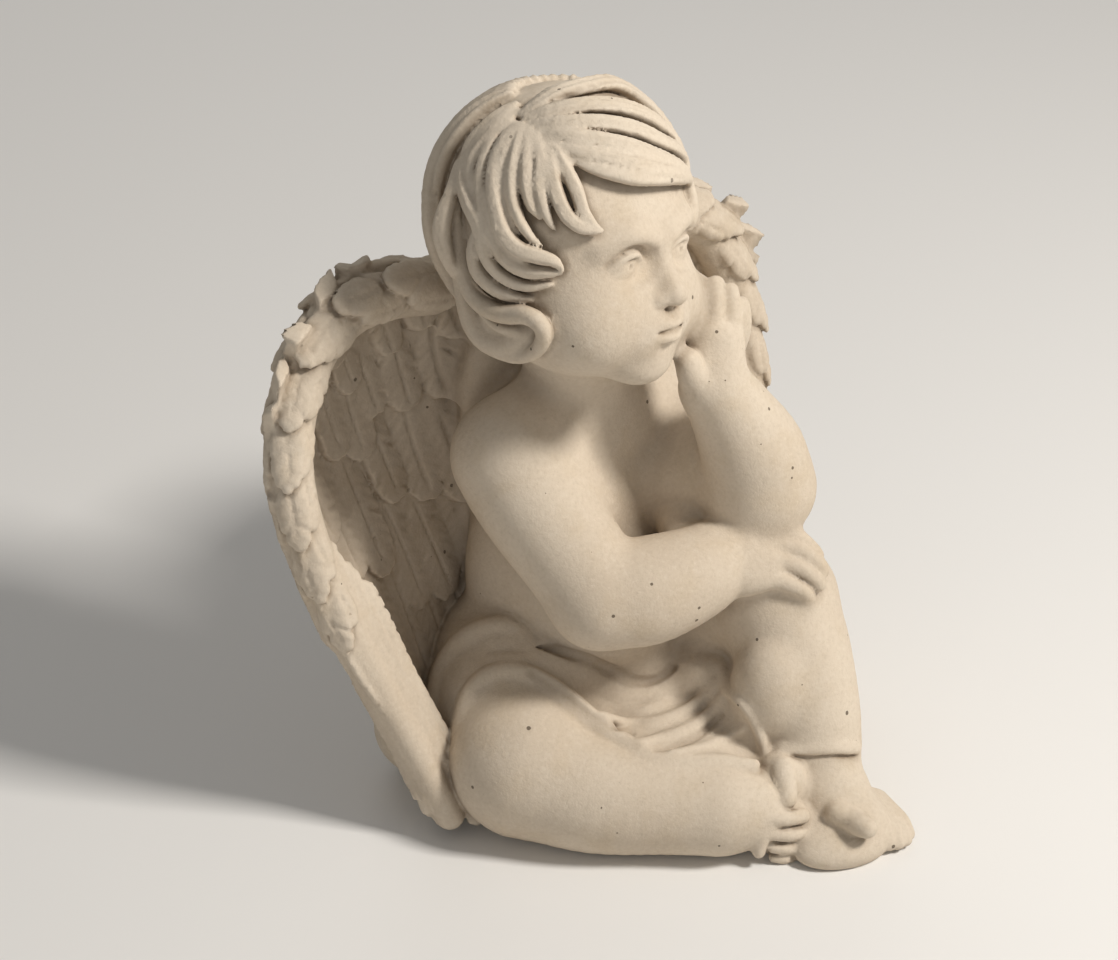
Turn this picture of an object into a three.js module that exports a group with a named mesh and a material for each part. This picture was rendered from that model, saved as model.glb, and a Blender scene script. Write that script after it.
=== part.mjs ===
// Seated putto with folded wings, one cast piece. Millimetres, +Z up, the figure faces -Y.
import * as THREE from 'three';

// ---------------------------------------------------------------- driving sizes
const GRID = 3.2;              // spacing of the sampling grid
const FACETS = 9400;            // triangles kept on the finished skin
const CENTRE = [-15.2, -10.7];          // middle of the footprint, moved to the origin
const STONE = { color: 0xc9b49a, roughness: 0.86, metalness: 0.0 };
// head: centre, turn to the figure's left, chin lift, tilt; hair shell centre and radii in the head frame
const HEAD = [-30, -3, 322], HEAD_TURN = 26, HEAD_LIFT = 5, HEAD_TILT = 9;
const HAIR_C = [0, -5, 12], HAIR_R = [60, 62, 64];

// ---------------------------------------------------------------- small maths
const RAD = Math.PI / 180;
const clamp = (v, a, b) => (v < a ? a : v > b ? b : v);
const sub3 = (a, b) => [a[0] - b[0], a[1] - b[1], a[2] - b[2]];
const dot3 = (a, b) => a[0] * b[0] + a[1] * b[1] + a[2] * b[2];
const cross3 = (a, b) => [a[1] * b[2] - a[2] * b[1], a[2] * b[0] - a[0] * b[2], a[0] * b[1] - a[1] * b[0]];
const unit = (a) => { const l = Math.hypot(a[0], a[1], a[2]) || 1; return [a[0] / l, a[1] / l, a[2] / l]; };
// 3x3 matrices are stored row by row
const mul = (A, B) => { const o = []; for (let i = 0; i < 3; i++) for (let j = 0; j < 3; j++) o.push(A[3 * i] * B[j] + A[3 * i + 1] * B[3 + j] + A[3 * i + 2] * B[6 + j]); return o; };
const app = (A, v) => [A[0] * v[0] + A[1] * v[1] + A[2] * v[2], A[3] * v[0] + A[4] * v[1] + A[5] * v[2], A[6] * v[0] + A[7] * v[1] + A[8] * v[2]];
const appT = (A, v) => [A[0] * v[0] + A[3] * v[1] + A[6] * v[2], A[1] * v[0] + A[4] * v[1] + A[7] * v[2], A[2] * v[0] + A[5] * v[1] + A[8] * v[2]];
function rot([rx, ry, rz]) {
  const cx = Math.cos(rx * RAD), sx = Math.sin(rx * RAD), cy = Math.cos(ry * RAD), sy = Math.sin(ry * RAD), cz = Math.cos(rz * RAD), sz = Math.sin(rz * RAD);
  return mul([cz, -sz, 0, sz, cz, 0, 0, 0, 1], mul([cy, 0, sy, 0, 1, 0, -sy, 0, cy], [1, 0, 0, 0, cx, -sx, 0, sx, cx]));
}
const cat = (a, b, c, d, t) => 0.5 * (2 * b + (c - a) * t + (2 * a - 5 * b + 4 * c - d) * t * t + (3 * b - 3 * c + d - a) * t * t * t);
// smooth curve through stations of any width, n steps between stations
function catmull(P, n) {
  const m = P.length, w = P[0].length, out = [];
  if (m === 2) { for (let i = 0; i <= n; i++) out.push(P[0].map((v, k) => v + (P[1][k] - v) * i / n)); return out; }
  const at = (i, k) => (i < 0 ? 2 * P[0][k] - P[1][k] : i >= m ? 2 * P[m - 1][k] - P[m - 2][k] : P[i][k]);
  for (let i = 0; i < m - 1; i++) for (let j = 0; j < n; j++) { const r = []; for (let k = 0; k < w; k++) r.push(cat(at(i - 1, k), at(i, k), at(i + 1, k), at(i + 2, k), j / n)); out.push(r); }
  out.push(P[m - 1].slice());
  return out;
}
const smin = (a, b, k) => { const h = Math.max(k - Math.abs(a - b), 0) / k; return Math.min(a, b) - h * h * k * 0.25; };

// ---------------------------------------------------------------- solid masses
// every mass is a distance function f(x,y,z) with a bounding ball; k is how softly it melts into the rest
let KK = 1;
function Ell(c, r, k = 10, q = null, sub = false) {
  const M = q ? (q.length === 9 ? q : rot(q)) : null;
  const [rx, ry, rz] = r;
  return { c, br: Math.max(rx, ry, rz), k, sub, f(x, y, z) {
    let a = x - c[0], b = y - c[1], d = z - c[2];
    if (M) { const u = M[0] * a + M[3] * b + M[6] * d, v = M[1] * a + M[4] * b + M[7] * d, w = M[2] * a + M[5] * b + M[8] * d; a = u; b = v; d = w; }
    a /= rx; b /= ry; d /= rz;
    const k0 = Math.sqrt(a * a + b * b + d * d) + 1e-9; a /= rx; b /= ry; d /= rz;
    KK = k; return k0 * (k0 - 1) / (Math.sqrt(a * a + b * b + d * d) + 1e-9);
  } };
}
// spline tube: stations [x,y,z,radius,(k)]; fl flattens the section along the normal (away from nc, or nv)
function Tube(p, k = 10, n = 4, fl = null, nc = null, nv = null, sub = false) {
  const S = catmull(p.map((r) => (r.length === 4 ? [...r, k] : r)), n);
  let lo = [1e9, 1e9, 1e9], hi = [-1e9, -1e9, -1e9], kmax = 0;
  for (const s of S) { s[3] = Math.max(s[3], 0.2); kmax = Math.max(kmax, s[4]); for (let i = 0; i < 3; i++) { lo[i] = Math.min(lo[i], s[i] - s[3]); hi[i] = Math.max(hi[i], s[i] + s[3]); } }
  const c = [(lo[0] + hi[0]) / 2, (lo[1] + hi[1]) / 2, (lo[2] + hi[2]) / 2];
  let br = 0; for (const s of S) br = Math.max(br, Math.hypot(s[0] - c[0], s[1] - c[1], s[2] - c[2]) + s[3]);
  const G = [];
  for (let i = 0; i + 1 < S.length; i++) {
    const a = S[i], ab = sub3(S[i + 1], a), l2 = dot3(ab, ab); if (l2 < 1e-9) continue;
    const g = { a, ab, l2, dr: S[i + 1][3] - a[3], dk: S[i + 1][4] - a[4] };
    if (fl !== null) {
      g.t = unit(ab); let nn = nc ? [a[0] + ab[0] / 2 - nc[0], a[1] + ab[1] / 2 - nc[1], a[2] + ab[2] / 2 - nc[2]] : unit(nv);
      const h = dot3(nn, g.t); nn = unit([nn[0] - g.t[0] * h, nn[1] - g.t[1] * h, nn[2] - g.t[2] * h]); g.n = nn; g.b = cross3(g.t, nn);
    }
    G.push(g);
  }
  return { c, br, k: kmax, sub, f(x, y, z) {
    let best = 1e9, kk = kmax;
    for (const g of G) {
      const a = g.a, qx = x - a[0], qy = y - a[1], qz = z - a[2];
      const h = clamp((qx * g.ab[0] + qy * g.ab[1] + qz * g.ab[2]) / g.l2, 0, 1), r = a[3] + g.dr * h;
      const dx = qx - g.ab[0] * h, dy = qy - g.ab[1] * h, dz = qz - g.ab[2] * h; let dd;
      if (fl === null) dd = Math.sqrt(dx * dx + dy * dy + dz * dz) - r;
      else {
        const v = dx * g.n[0] + dy * g.n[1] + dz * g.n[2], u = dx * g.b[0] + dy * g.b[1] + dz * g.b[2], w = dx * g.t[0] + dy * g.t[1] + dz * g.t[2];
        const uu = u / r, vv = v / (r * fl), ww = w / r, k0 = Math.sqrt(uu * uu + vv * vv + ww * ww) + 1e-9;
        dd = k0 * (k0 - 1) / (Math.sqrt((uu / r) ** 2 + (vv / (r * fl)) ** 2 + (ww / r) ** 2) + 1e-9);
      }
      if (dd < best) { best = dd; kk = a[4] + g.dk * h; }
    }
    KK = kk; return best;
  } };
}
const MASSES = [];
const add = (m) => MASSES.push(m);
const FAR = 60;
function near(list, c, r, band) { return list.filter((p) => Math.hypot(c[0] - p.c[0], c[1] - p.c[1], c[2] - p.c[2]) - r - p.br <= p.k + band); }
function field(list, x, y, z) {
  let d = FAR;
  for (const p of list) { const v = p.f(x, y, z), k = KK; d = p.sub ? -smin(-d, v, k) : smin(d, v, k); }
  return Math.max(d, -z);          // the underside is sawn flat at the ground
}

// ---------------------------------------------------------------- body
function body() {
  // ---- torso ----
  add(Ell([0,30,46],[57,46,49],12));
  add(Ell([-2,36,40],[63,46,46],12));
  add(Ell([-4,2,104],[47,44,46],22,[0,0,8]));
  add(Ell([-5,16,118],[50,42,50],20,[0,0,10]));
  add(Ell([-12,16,170],[50,36,42],22,[0,0,13]));
  add(Ell([-40,34,110],[30,28,58],20));
  add(Ell([-34,-8,168],[24,18,20],18,[0,0,13]));
  add(Ell([18,2,166],[24,18,20],18,[0,0,13]));
  add(Tube([[-56,6,198,26],[-30,14,208,25],[-8,18,211,25],[18,22,204,25],[42,27,192,25]],20));
  add(Tube([[-10,18,205,29],[-16,14,232,27],[-22,8,262,30]],14));
  // ---- right arm ----
  add(Tube([[-60,4,199,29,20],[-55,-12,180,30,16],[-46,-33,158,28,8],[-37,-50,138,27,5]],12,5));
  add(Tube([[-37,-50,138,27,6],[-16,-58,137,27,4],[8,-62,141,23,3],[26,-62,146,18,4]],6,5));
  // right hand
  add(Tube([[24,-60,147,16,5],[36,-62,152,14,5],[46,-64,155,11,4]],7,3,0.85,null,[-0.41,-0.76,0.5]));
  add(Tube([[26,-61,143,14,5],[38,-70,146,13,5],[44,-75,146,11,4]],7,3));
  add(Tube([[40,-63,158,10,6],[54,-67,160.5,8.4,2],[64,-74,157,6.9,0.8],[70,-79,151,6.2,0.8],[72.5,-81,147.5,5.2,0.8]],3,4));
  add(Tube([[41,-67,153,10,6],[55,-72,154.5,8.2,2],[65,-79.5,151,6.8,0.8],[71,-84,144.5,6.2,0.8],[72.5,-85.5,141,5.2,0.8]],3,4));
  add(Tube([[40,-71,147,10,6],[53,-76,148,8,2],[62,-83,144.5,6.6,0.8],[67.5,-86.5,139,6,0.8],[69,-87.5,136,5,0.8]],3,4));
  add(Tube([[37,-74,141,10,6],[47.5,-79,141,7.8,2],[55.5,-84.5,138,6.2,0.8],[60.5,-87,134.5,5.6,0.8],[62.5,-87.5,132,4.8,0.8]],3,4));
  add(Tube([[30,-54,152,10,5],[42,-50,156,8,3],[54,-52,152,7,1.5],[60,-56,147,6,1.5]],3,4));
  // ---- left arm ----
  add(Tube([[42,28,190,27,18],[48,4,186,27,10],[53,-26,182,28,6],[55,-50,178,28,5]],10,5));
  add(Ell([34,-16,172],[24,26,22],14));
  add(Tube([[55,-51,178,28,8],[51,-51,198,27,6],[41,-48,220,22,6],[30,-46,240,18,5]],8,5));
  // left hand
  add(Tube([[29,-45,239,17,5],[28,-45,252,16,5],[29,-43,264,14,5]],6,3,0.8,null,[-0.41,-0.76,0.3]));
  add(Tube([[24,-44,256,9,6],[28,-40,268,8,2],[33,-35,280,7,0.8],[37,-30,288,6,0.8]],3,4));
  add(Tube([[29,-46,256,9,6],[33,-43,268,8,2],[38,-39,278,7,0.8],[42,-34,285,6,0.8]],3,4));
  add(Tube([[33,-48,254,9,6],[37,-47,265,8,2],[42,-43,274,7,0.8],[45,-38,281,6,0.8]],3,4));
  add(Tube([[35,-47,250,9,6],[41,-45,260,7.5,2],[46,-41,268,6.5,0.8],[48,-37,274,5.5,0.8]],3,4));
  add(Tube([[20,-48,244,9,6],[15,-49,252,8,3],[13,-48,259,7,1.5]],3,4));
  // ---- right leg (folded on the ground) ----
  add(Tube([[-38,26,54,40,14],[-58,0,47,40,12],[-74,-32,41,39,12]],14,5));
  add(Tube([[-72,-40,37,38,12],[-48,-66,30,33,8],[-18,-88,27,28,5],[4,-103,26,26,5]],12,5));
  add(Tube([[6,-104,26,24,5],[18,-114,26,22,5],[26,-119,26,19,5]],4));
  // rim of the cuff of flesh at the right ankle
  add(Tube([[10,-94,46,3.5],[13,-109,45,3.5],[17,-121,36,3.5],[17,-128,24,3.5],[14,-129,10,3.5]],3,4));
  // right foot
  add(Ell([33,-115,32],[13,16,22],6,[0,0,-28]));
  add(Ell([31,-122,16],[13,14,15],6,[0,0,-28]));
  add(Tube([[35,-106,50,9,4],[35,-111,50,8.5,2],[34.5,-117,45,7.6,1],[33.5,-121.5,37,7,1]],2,4));
  add(Tube([[22,-118,27.5,4.6,1],[30,-124,27.5,5,1],[39,-129,27,4.8,1]],1.2,3));
  add(Tube([[22,-121,19.5,4.3,1],[30,-127,19.5,4.8,1],[37,-131,19.5,4.5,1]],1.2,3));
  add(Tube([[22,-123,12,4,1],[29,-128.5,12,4.4,1],[35,-132,12,4.2,1]],1.2,3));
  add(Tube([[22,-126,5.5,3.6,1],[27,-130,5.5,4,1],[31,-132,5.5,3.8,1]],1.2,3));
  // ---- left leg ----
  add(Tube([[36,24,58,38,14],[50,-12,84,36,10],[60,-50,108,32,8],[62,-62,114,30,8]],14,5));
  add(Tube([[62,-63,114,30,10],[63,-76,90,31,8],[65,-90,62,28,6],[67,-98,42,24,4]],10,5));
  add(Ell([48,-86,78],[20,22,30],10));
  // left foot
  add(Tube([[64,-92,24,24,5],[66,-110,22,22,6],[68,-124,18,18,6],[72,-134,14,15,6]],6,4));
  add(Ell([60,-134,8],[28,18,13],8,[0,0,-20]));
  add(Ell([56,-142,6],[24,13,9],6,[0,0,-12]));
  add(Tube([[60,-126,22,10,4],[62,-133,20,10.5,3],[64.5,-139,17,11,1.5],[68,-142.5,15,9.5,1]],3,4));
  add(Tube([[73,-128,20,8,4],[77,-137,17,7.5,2],[79,-143.5,12.5,7,1]],2,4));
  add(Tube([[79,-126,17,7.5,4],[84,-136,15,7,2],[86.5,-143,11.5,6.4,1]],2,4));
  add(Tube([[83,-124,14,7,4],[89,-134,13,6.5,2],[91.5,-141.5,10.5,6,1]],2,4));
  add(Tube([[85,-121,12,6.5,4],[92,-131,11,6,2],[94.5,-138,9,5.4,1]],2,4));
}
// cloth thrown over the right hip and between the knees
function cloth() {
  // cloth over the right hip and thigh
  add(Tube([[-50,30,52,46,10],[-60,6,47,45,10],[-62,-4,46,44,8]],8,4));
  add(Ell([-88,30,30],[40,34,32],16));
  add(Ell([4,-54,38],[50,48,24],12));
  add(Tube([[26,-44,70,14],[32,-66,64,13],[36,-86,48,12]],10,4));
  // hem over the thigh and along the shin
  add(Tube([[-101,-20,30,4.5],[-101,-18,58,4.8],[-95,-14,73,5],[-85,-14,82,5],[-73,-20,86,5],[-63,-31,84,5],[-54,-43,78,5],[-46,-55,70,4.6],[-36,-69,62,4],[-24,-86,56,3.5],[-9,-95,54,3.2],[6,-101,53,3.2],[22,-109,50,3]],4,4));
  // waist roll
  add(Tube([[-78,36,70,8],[-80,22,82,8],[-66,8,90,8],[-48,-8,86,7],[-34,-22,78,6],[-16,-32,66,6],[6,-38,62,6],[24,-44,70,6]],8,4));
}

// ---------------------------------------------------------------- head
const HM = (() => {
  const y = HEAD_TURN * RAD, p = HEAD_LIFT * RAD, r = HEAD_TILT * RAD;
  const f0 = [Math.sin(y), -Math.cos(y), 0], l0 = [Math.cos(y), Math.sin(y), 0];
  const f = [Math.cos(p) * f0[0], Math.cos(p) * f0[1], Math.sin(p)], u = [-Math.sin(p) * f0[0], -Math.sin(p) * f0[1], Math.cos(p)];
  const l = l0.map((v, i) => Math.cos(r) * v - Math.sin(r) * u[i]), w = u.map((v, i) => Math.cos(r) * v + Math.sin(r) * l0[i]);
  return [l[0], f[0], w[0], l[1], f[1], w[1], l[2], f[2], w[2]];
})();
const hw = (q) => { const v = app(HM, q); return [HEAD[0] + v[0], HEAD[1] + v[1], HEAD[2] + v[2]]; };
const HE = (c, r, k, q = null, sub = false) => Ell(hw(c), r, k, q ? mul(HM, rot(q)) : HM, sub);
const HT = (rows, k, n = 4) => Tube(rows.map((r) => [...hw(r), ...r.slice(3)]), k, n);
function face() {
  // skull, jaw and neck-side masses (head frame: left, forward, up)
  add(HE([0,-5,12],[57,58.5,61.5],8));
  add(HE([0,16,8],[50,37,42],10));
  add(HE([0,10,-28],[50,50,42],14));
  add(HE([-25,31,-33],[25,24,25],14));
  add(HE([25,31,-33],[25,24,25],14));
  add(HE([0,44,-56],[17,14,13],12));
  add(HE([0,50,-38],[19,13,15],10));
  // brow, sockets, eyes
  add(HT([[-31,44,5,4],[-20,53,10,4.5],[-8,55,7,4]],9,4));
  add(HT([[31,44,5,4],[20,53,10,4.5],[8,55,7,4]],9,4));
  add(HE([-20,57,-5],[12.5,7,7.5],7,null,true));
  add(HE([20,57,-5],[12.5,7,7.5],7,null,true));
  add(HE([-19,43.5,-5],[12,11,10],1.5));
  add(HE([19,43.5,-5],[12,11,10],1.5));
  add(HT([[-30,46,-6.5,1.5],[-25,51.5,-0.5,2],[-19,54,1.6,2.1],[-12,53.5,-1,1.9],[-8,52,-6,1.4]],1.6,4));
  add(HT([[30,46,-6.5,1.5],[25,51.5,-0.5,2],[19,54,1.6,2.1],[12,53.5,-1,1.9],[8,52,-6,1.4]],1.6,4));
  add(HT([[-30,46,-7,1.4],[-25,49.5,-10.5,1.8],[-18,51.5,-12.2,1.9],[-12,52,-9.5,1.6],[-8,52,-6.5,1.3]],1.8,4));
  add(HT([[30,46,-7,1.4],[25,49.5,-10.5,1.8],[18,51.5,-12.2,1.9],[12,52,-9.5,1.6],[8,52,-6.5,1.3]],1.8,4));
  // nose
  add(HT([[0,55,3,4.5],[0,57,-8,4.8],[0,61.5,-17,5.8]],7,4));
  add(HE([0,64,-19.5],[6.6,6,5.6],4));
  add(HE([-6.3,59.5,-21.5],[4.4,5,4],3));
  add(HE([6.3,59.5,-21.5],[4.4,5,4],3));
  // mouth
  add(HT([[-12,57,-36,1],[-6,61,-33.6,2.6],[0,62.3,-34.6,2.4],[6,61,-33.6,2.6],[12,57,-36,1]],2.4,4));
  add(HT([[-9.5,57.6,-38,1],[-5,60.3,-40.6,3],[0,61.3,-41.6,3.4],[5,60.3,-40.6,3],[9.5,57.6,-38,1]],2.4,4));
}
// a lock of hair follows longitude and latitude over the skull
function lock(rows) {
  const D = rows.map(([lon, lat, h, w]) => [Math.sin(lon * RAD) * Math.cos(lat * RAD), Math.cos(lon * RAD) * Math.cos(lat * RAD), Math.sin(lat * RAD), h, w]);
  const line = catmull(D, 4).map((s) => { const l = Math.hypot(s[0], s[1], s[2]), h = s[3] - 0.9; return [...hw([0, 1, 2].map((i) => HAIR_C[i] + s[i] / l * (HAIR_R[i] + h))), Math.max(s[4], 1)]; });
  add(Tube(line, 1.4, 1, 0.62, hw(HAIR_C)));
}
function hair() {
  // locks: [longitude, latitude, height, half width] on the skull
  lock([[-70,54,0,6],[-59,32,2,8],[-54,18,3.5,8],[-46,8,5.5,6.5],[-37,4,6.5,4],[-32,3,6.5,2]]);
  lock([[-77,52,0,5],[-67,32,1,7],[-62,17,2.5,7],[-56,7,3.5,5],[-50,2,3.5,2.5]]);
  lock([[-82,50,0,5],[-77,30,2,7.5],[-72,14,3,7.5],[-63,1,4,5.5],[-55,-4,4,3]]);
  lock([[-87,50,0,5],[-86,28,1.5,7],[-82,12,2.5,7.5],[-74,-3,4,7],[-63,-10,5.5,5.5],[-54,-12,6,3]]);
  lock([[-92,50,0,6],[-96,30,2.5,8],[-91,11,3.5,8.5],[-82,-7,4,7.5],[-68,-16,5,5.5],[-54,-17,5.5,3]]);
  lock([[-99,50,0,6],[-104,29,1.5,8],[-97,5,2.5,8.5],[-92,-14,3.5,8],[-81,-28,4,6.5],[-65,-32,4,3.5]]);
  lock([[-106,48,0,6],[-107,18,3,8],[-104,-5,4,8.5],[-103,-26,4.5,8.5],[-96,-43,5,8],[-80,-49,6,7],[-68,-46,7,5.5],[-64,-52,7,4.5]]);
  lock([[-112,30,0,7],[-112,0,1.5,8.5],[-111,-25,2,9],[-106,-45,3,9],[-95,-58,3.5,8],[-80,-62,4,6.5],[-68,-58,5,5]]);
  lock([[-116,44,1,7],[-117,20,5,9],[-122,0,7.5,9.5],[-124,-18,7.5,8.5],[-120,-33,5,5]]);
  // sweep over the brow, from the parting to the left temple
  lock([[-97,58,0.5,6],[-92,74,2,10],[30,82,3,11],[58,62,3.5,10],[62,42,3,8],[64,24,2,5]]);
  lock([[-86,56,0.5,6],[-60,70,3,10],[8,71,4,11],[42,52,4,10],[50,34,3,7],[52,20,2,4]]);
  lock([[-74,52,0.5,5],[-48,57,3.5,9.5],[-10,56,5,10],[18,43,5,9],[36,27,4,7],[44,14,2,4]]);
  lock([[-62,46,0.5,4.5],[-38,45,4,8],[-9,40,6,9],[14,30,6,8.5],[32,19,4.5,6.5],[42,8,2,4]]);
  lock([[-54,40,0.5,3.5],[-38,33,4,6],[-20,28,6.5,7.5],[0,24,7,8],[20,20,6,7],[35,13,4,5.5],[43,4,2,4]]);
  // curls at the left temple and ear
  lock([[40,16,3,5],[46,6,4,5.5],[50,-4,4.5,5.5],[46,-12,5,4]]);
  lock([[56,18,2,7],[62,4,4,8],[64,-10,5,8],[58,-20,6,6.5],[50,-22,6,4]]);
  lock([[68,24,2,7],[76,6,4,8.5],[78,-14,5,9],[72,-30,6,8],[60,-36,6,6],[54,-30,6,4]]);
  lock([[80,30,2,8],[90,8,4,9],[94,-14,5,9.5],[92,-34,5,9],[80,-48,5,7],[68,-48,5,4.5]]);
  // ranks of locks down the back
  for (let i = 0; i < 10; i++) {
    const lon = -136 - 13 * i, j = i % 2, low = -44 - 6 * j;
    lock([[lon + 4, 62, 0.5, 6], [lon, 40, 2, 8.5], [lon - 2 + 4 * j, 15, 3 + j, 9.5], [lon + 2, -10, 4 + j, 9.5], [lon - 3 + 5 * j, -32, 5 + j, 8.5], [lon + 4 - 7 * j, low, 6, 6]]);
  }
}

// ---------------------------------------------------------------- wings
// Each wing is a hollowed fan: a height field over its own (outward, back, up) frame, edged by a heavy roll.
const WING_YAW = 11, WING_ORIGIN = [-5, 20], WING_THICK = 8;
const LEFT_SWEEP = 8, LEFT_ROLL = 9, LEFT_DROP = -4, LEFT_PIVOT = [12, 45, 210];   // the left wing hangs lower and further back
const RIM = [[58, 57, 283], [72, 57, 286.5], [92, 57, 288], [114, 56, 286.5], [137, 53, 276], [155, 49, 253], [167, 43, 226], [171, 36, 197], [168.5, 27, 164], [159, 16, 127], [147, 4, 88], [136, -10, 54], [126, -24, 22], [122.5, -29, 9]];
const LEVELS = [0, 50, 100, 150, 200, 250, 290];
const REACH = [121, 135, 151, 165, 171, 157, 112], RIM_DEPTH = [-31, -12, 8, 23, 37, 48.5, 57];
const ROOT = [60, 45, 30, 20, 18, 20, 36], ROOT_DEPTH = [45, 52, 50, 44, 41, 43, 54], HOLLOW = [4, 6, 12, 24, 31, 24, 6];
const OUTLINE = [[44, 276], [58, 283], [72, 286.5], [92, 288], [114, 286.5], [137, 276], [155, 253], [167, 226], [171, 197], [168.5, 164], [159, 127], [147, 88], [136, 54], [128, 22], [122, 9], [112, 9], [100, 30], [88, 52], [66, 60], [46, 66], [26, 90], [14, 140], [10, 190], [14, 232], [30, 262]];
const FRONT_TIERS = [
  { tips: [[95, 255], [79, 235], [62, 245], [46, 238], [30, 236]], L: 40, W: 10.5 },
  { tips: [[115, 240], [104, 221], [90, 202], [71, 200], [52, 203], [34, 198]], L: 50, W: 11.5 },
  { tips: [[131, 222], [117, 189], [100, 182], [85, 154], [65, 148], [46.5, 143], [28, 140]], L: 62, W: 12.5 },
  { tips: [[146, 190], [136, 155], [122, 130], [103, 123], [82, 96], [62, 92], [42, 84], [24, 96]], L: 74, W: 13 },
  { tips: [[142, 120], [131, 92], [117, 66], [101, 44], [86, 44], [70, 52], [52, 56], [34, 68]], L: 86, W: 13 }];
const BACK_TIERS = [
  { tips: [[112, 262], [92, 250], [70, 246], [48, 238], [28, 236]], L: 46, W: 14 },
  { tips: [[142, 226], [120, 210], [98, 202], [76, 196], [54, 190], [32, 190]], L: 60, W: 15 },
  { tips: [[155, 170], [134, 150], [112, 142], [90, 138], [68, 134], [46, 132], [26, 138]], L: 76, W: 15.5 },
  { tips: [[152, 112], [134, 88], [116, 70], [98, 58], [80, 56], [62, 60], [44, 68]], L: 96, W: 15.5 },
  { tips: [[124, 14], [112, 24], [101, 40]], L: 80, W: 11 }];
function level(z, V) {
  z = clamp(z, LEVELS[0], LEVELS[LEVELS.length - 1] - 1e-6); let i = 0; while (i < LEVELS.length - 2 && z >= LEVELS[i + 1]) i++;
  const p1 = V[i], p2 = V[i + 1], p0 = i > 0 ? V[i - 1] : 2 * p1 - p2, p3 = i < V.length - 2 ? V[i + 2] : 2 * p2 - p1;
  return cat(p0, p1, p2, p3, (z - LEVELS[i]) / (LEVELS[i + 1] - LEVELS[i]));
}
function blade(a, z) {
  const a0 = level(z, ROOT), t = clamp((a - a0) / (level(z, REACH) - a0), -0.6, 1.3);
  return level(z, ROOT_DEPTH) * (1 - t) + level(z, RIM_DEPTH) * t + level(z, HOLLOW) * 4 * t * (1 - t);
}
function outlineDist(a, z) {
  const O = OUTLINE, n = O.length; let d = 1e9, s = 1;
  for (let i = 0; i < n; i++) {
    const A = O[i], B = O[(i + n - 1) % n], ex = B[0] - A[0], ez = B[1] - A[1], wx = a - A[0], wz = z - A[1];
    const t = clamp((wx * ex + wz * ez) / (ex * ex + ez * ez), 0, 1), dx = wx - ex * t, dz = wz - ez * t; d = Math.min(d, dx * dx + dz * dz);
    const c1 = z >= A[1], c2 = z < B[1], c3 = ex * wz > ez * wx; if ((c1 && c2 && c3) || (!c1 && !c2 && !c3)) s = -s;
  }
  return s * Math.sqrt(d);
}
function tiers(rows, lean) {
  const out = []; let k = 0;
  for (const r of rows) r.tips.forEach(([a, z], j) => {
    k++; let h = Math.sin(k * 12.9898) * 43758.5453; h -= Math.floor(h);
    const L = r.L * (0.93 + 0.14 * h), W = r.W * (0.94 + 0.12 * ((h * 7.3) % 1)), ln = lean - (a - 90) * 0.0012 + (h - 0.5) * 0.08, dn = Math.hypot(ln, 1), dx = ln / dn, dz = -1 / dn;
    out.push({ a: a - dx * L, z: z - dz * L, dx, dz, L, W, lift: (j % 2 ? 0.7 : 0) + 0.3 * h, tilt: j % 2 ? 0.8 : -0.5 });
  });
  return out;
}
function shingle(list, a, z, base) {
  let h = base;
  for (const f of list) {
    const pa = a - f.a, pz = z - f.z, s = pa * f.dx + pz * f.dz, u = -pa * f.dz + pz * f.dx; if (s < -6 || s > f.L + 6 || Math.abs(u) > f.W + 6) continue;
    const t = clamp(s / f.L, 0, 1), tip = clamp((s - (f.L - f.W * 1.15)) / (f.W * 1.15), 0, 1);
    const w = f.W * (0.72 + 0.28 * clamp(t * 1.6, 0, 1)) * Math.sqrt(Math.max(0, 1 - tip ** 2.2));
    const edge = Math.max(Math.abs(u) - w, s - f.L, -s - 2), un = u / Math.max(w, 3);
    h = Math.max(h, Math.min(1.2 + f.lift + 4.4 * t ** 1.1 - 1.1 * Math.min(un * un, 1.4) + f.tilt * clamp(un, -1, 1), -edge * 2.6 - 1));
  }
  return h;
}
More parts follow.
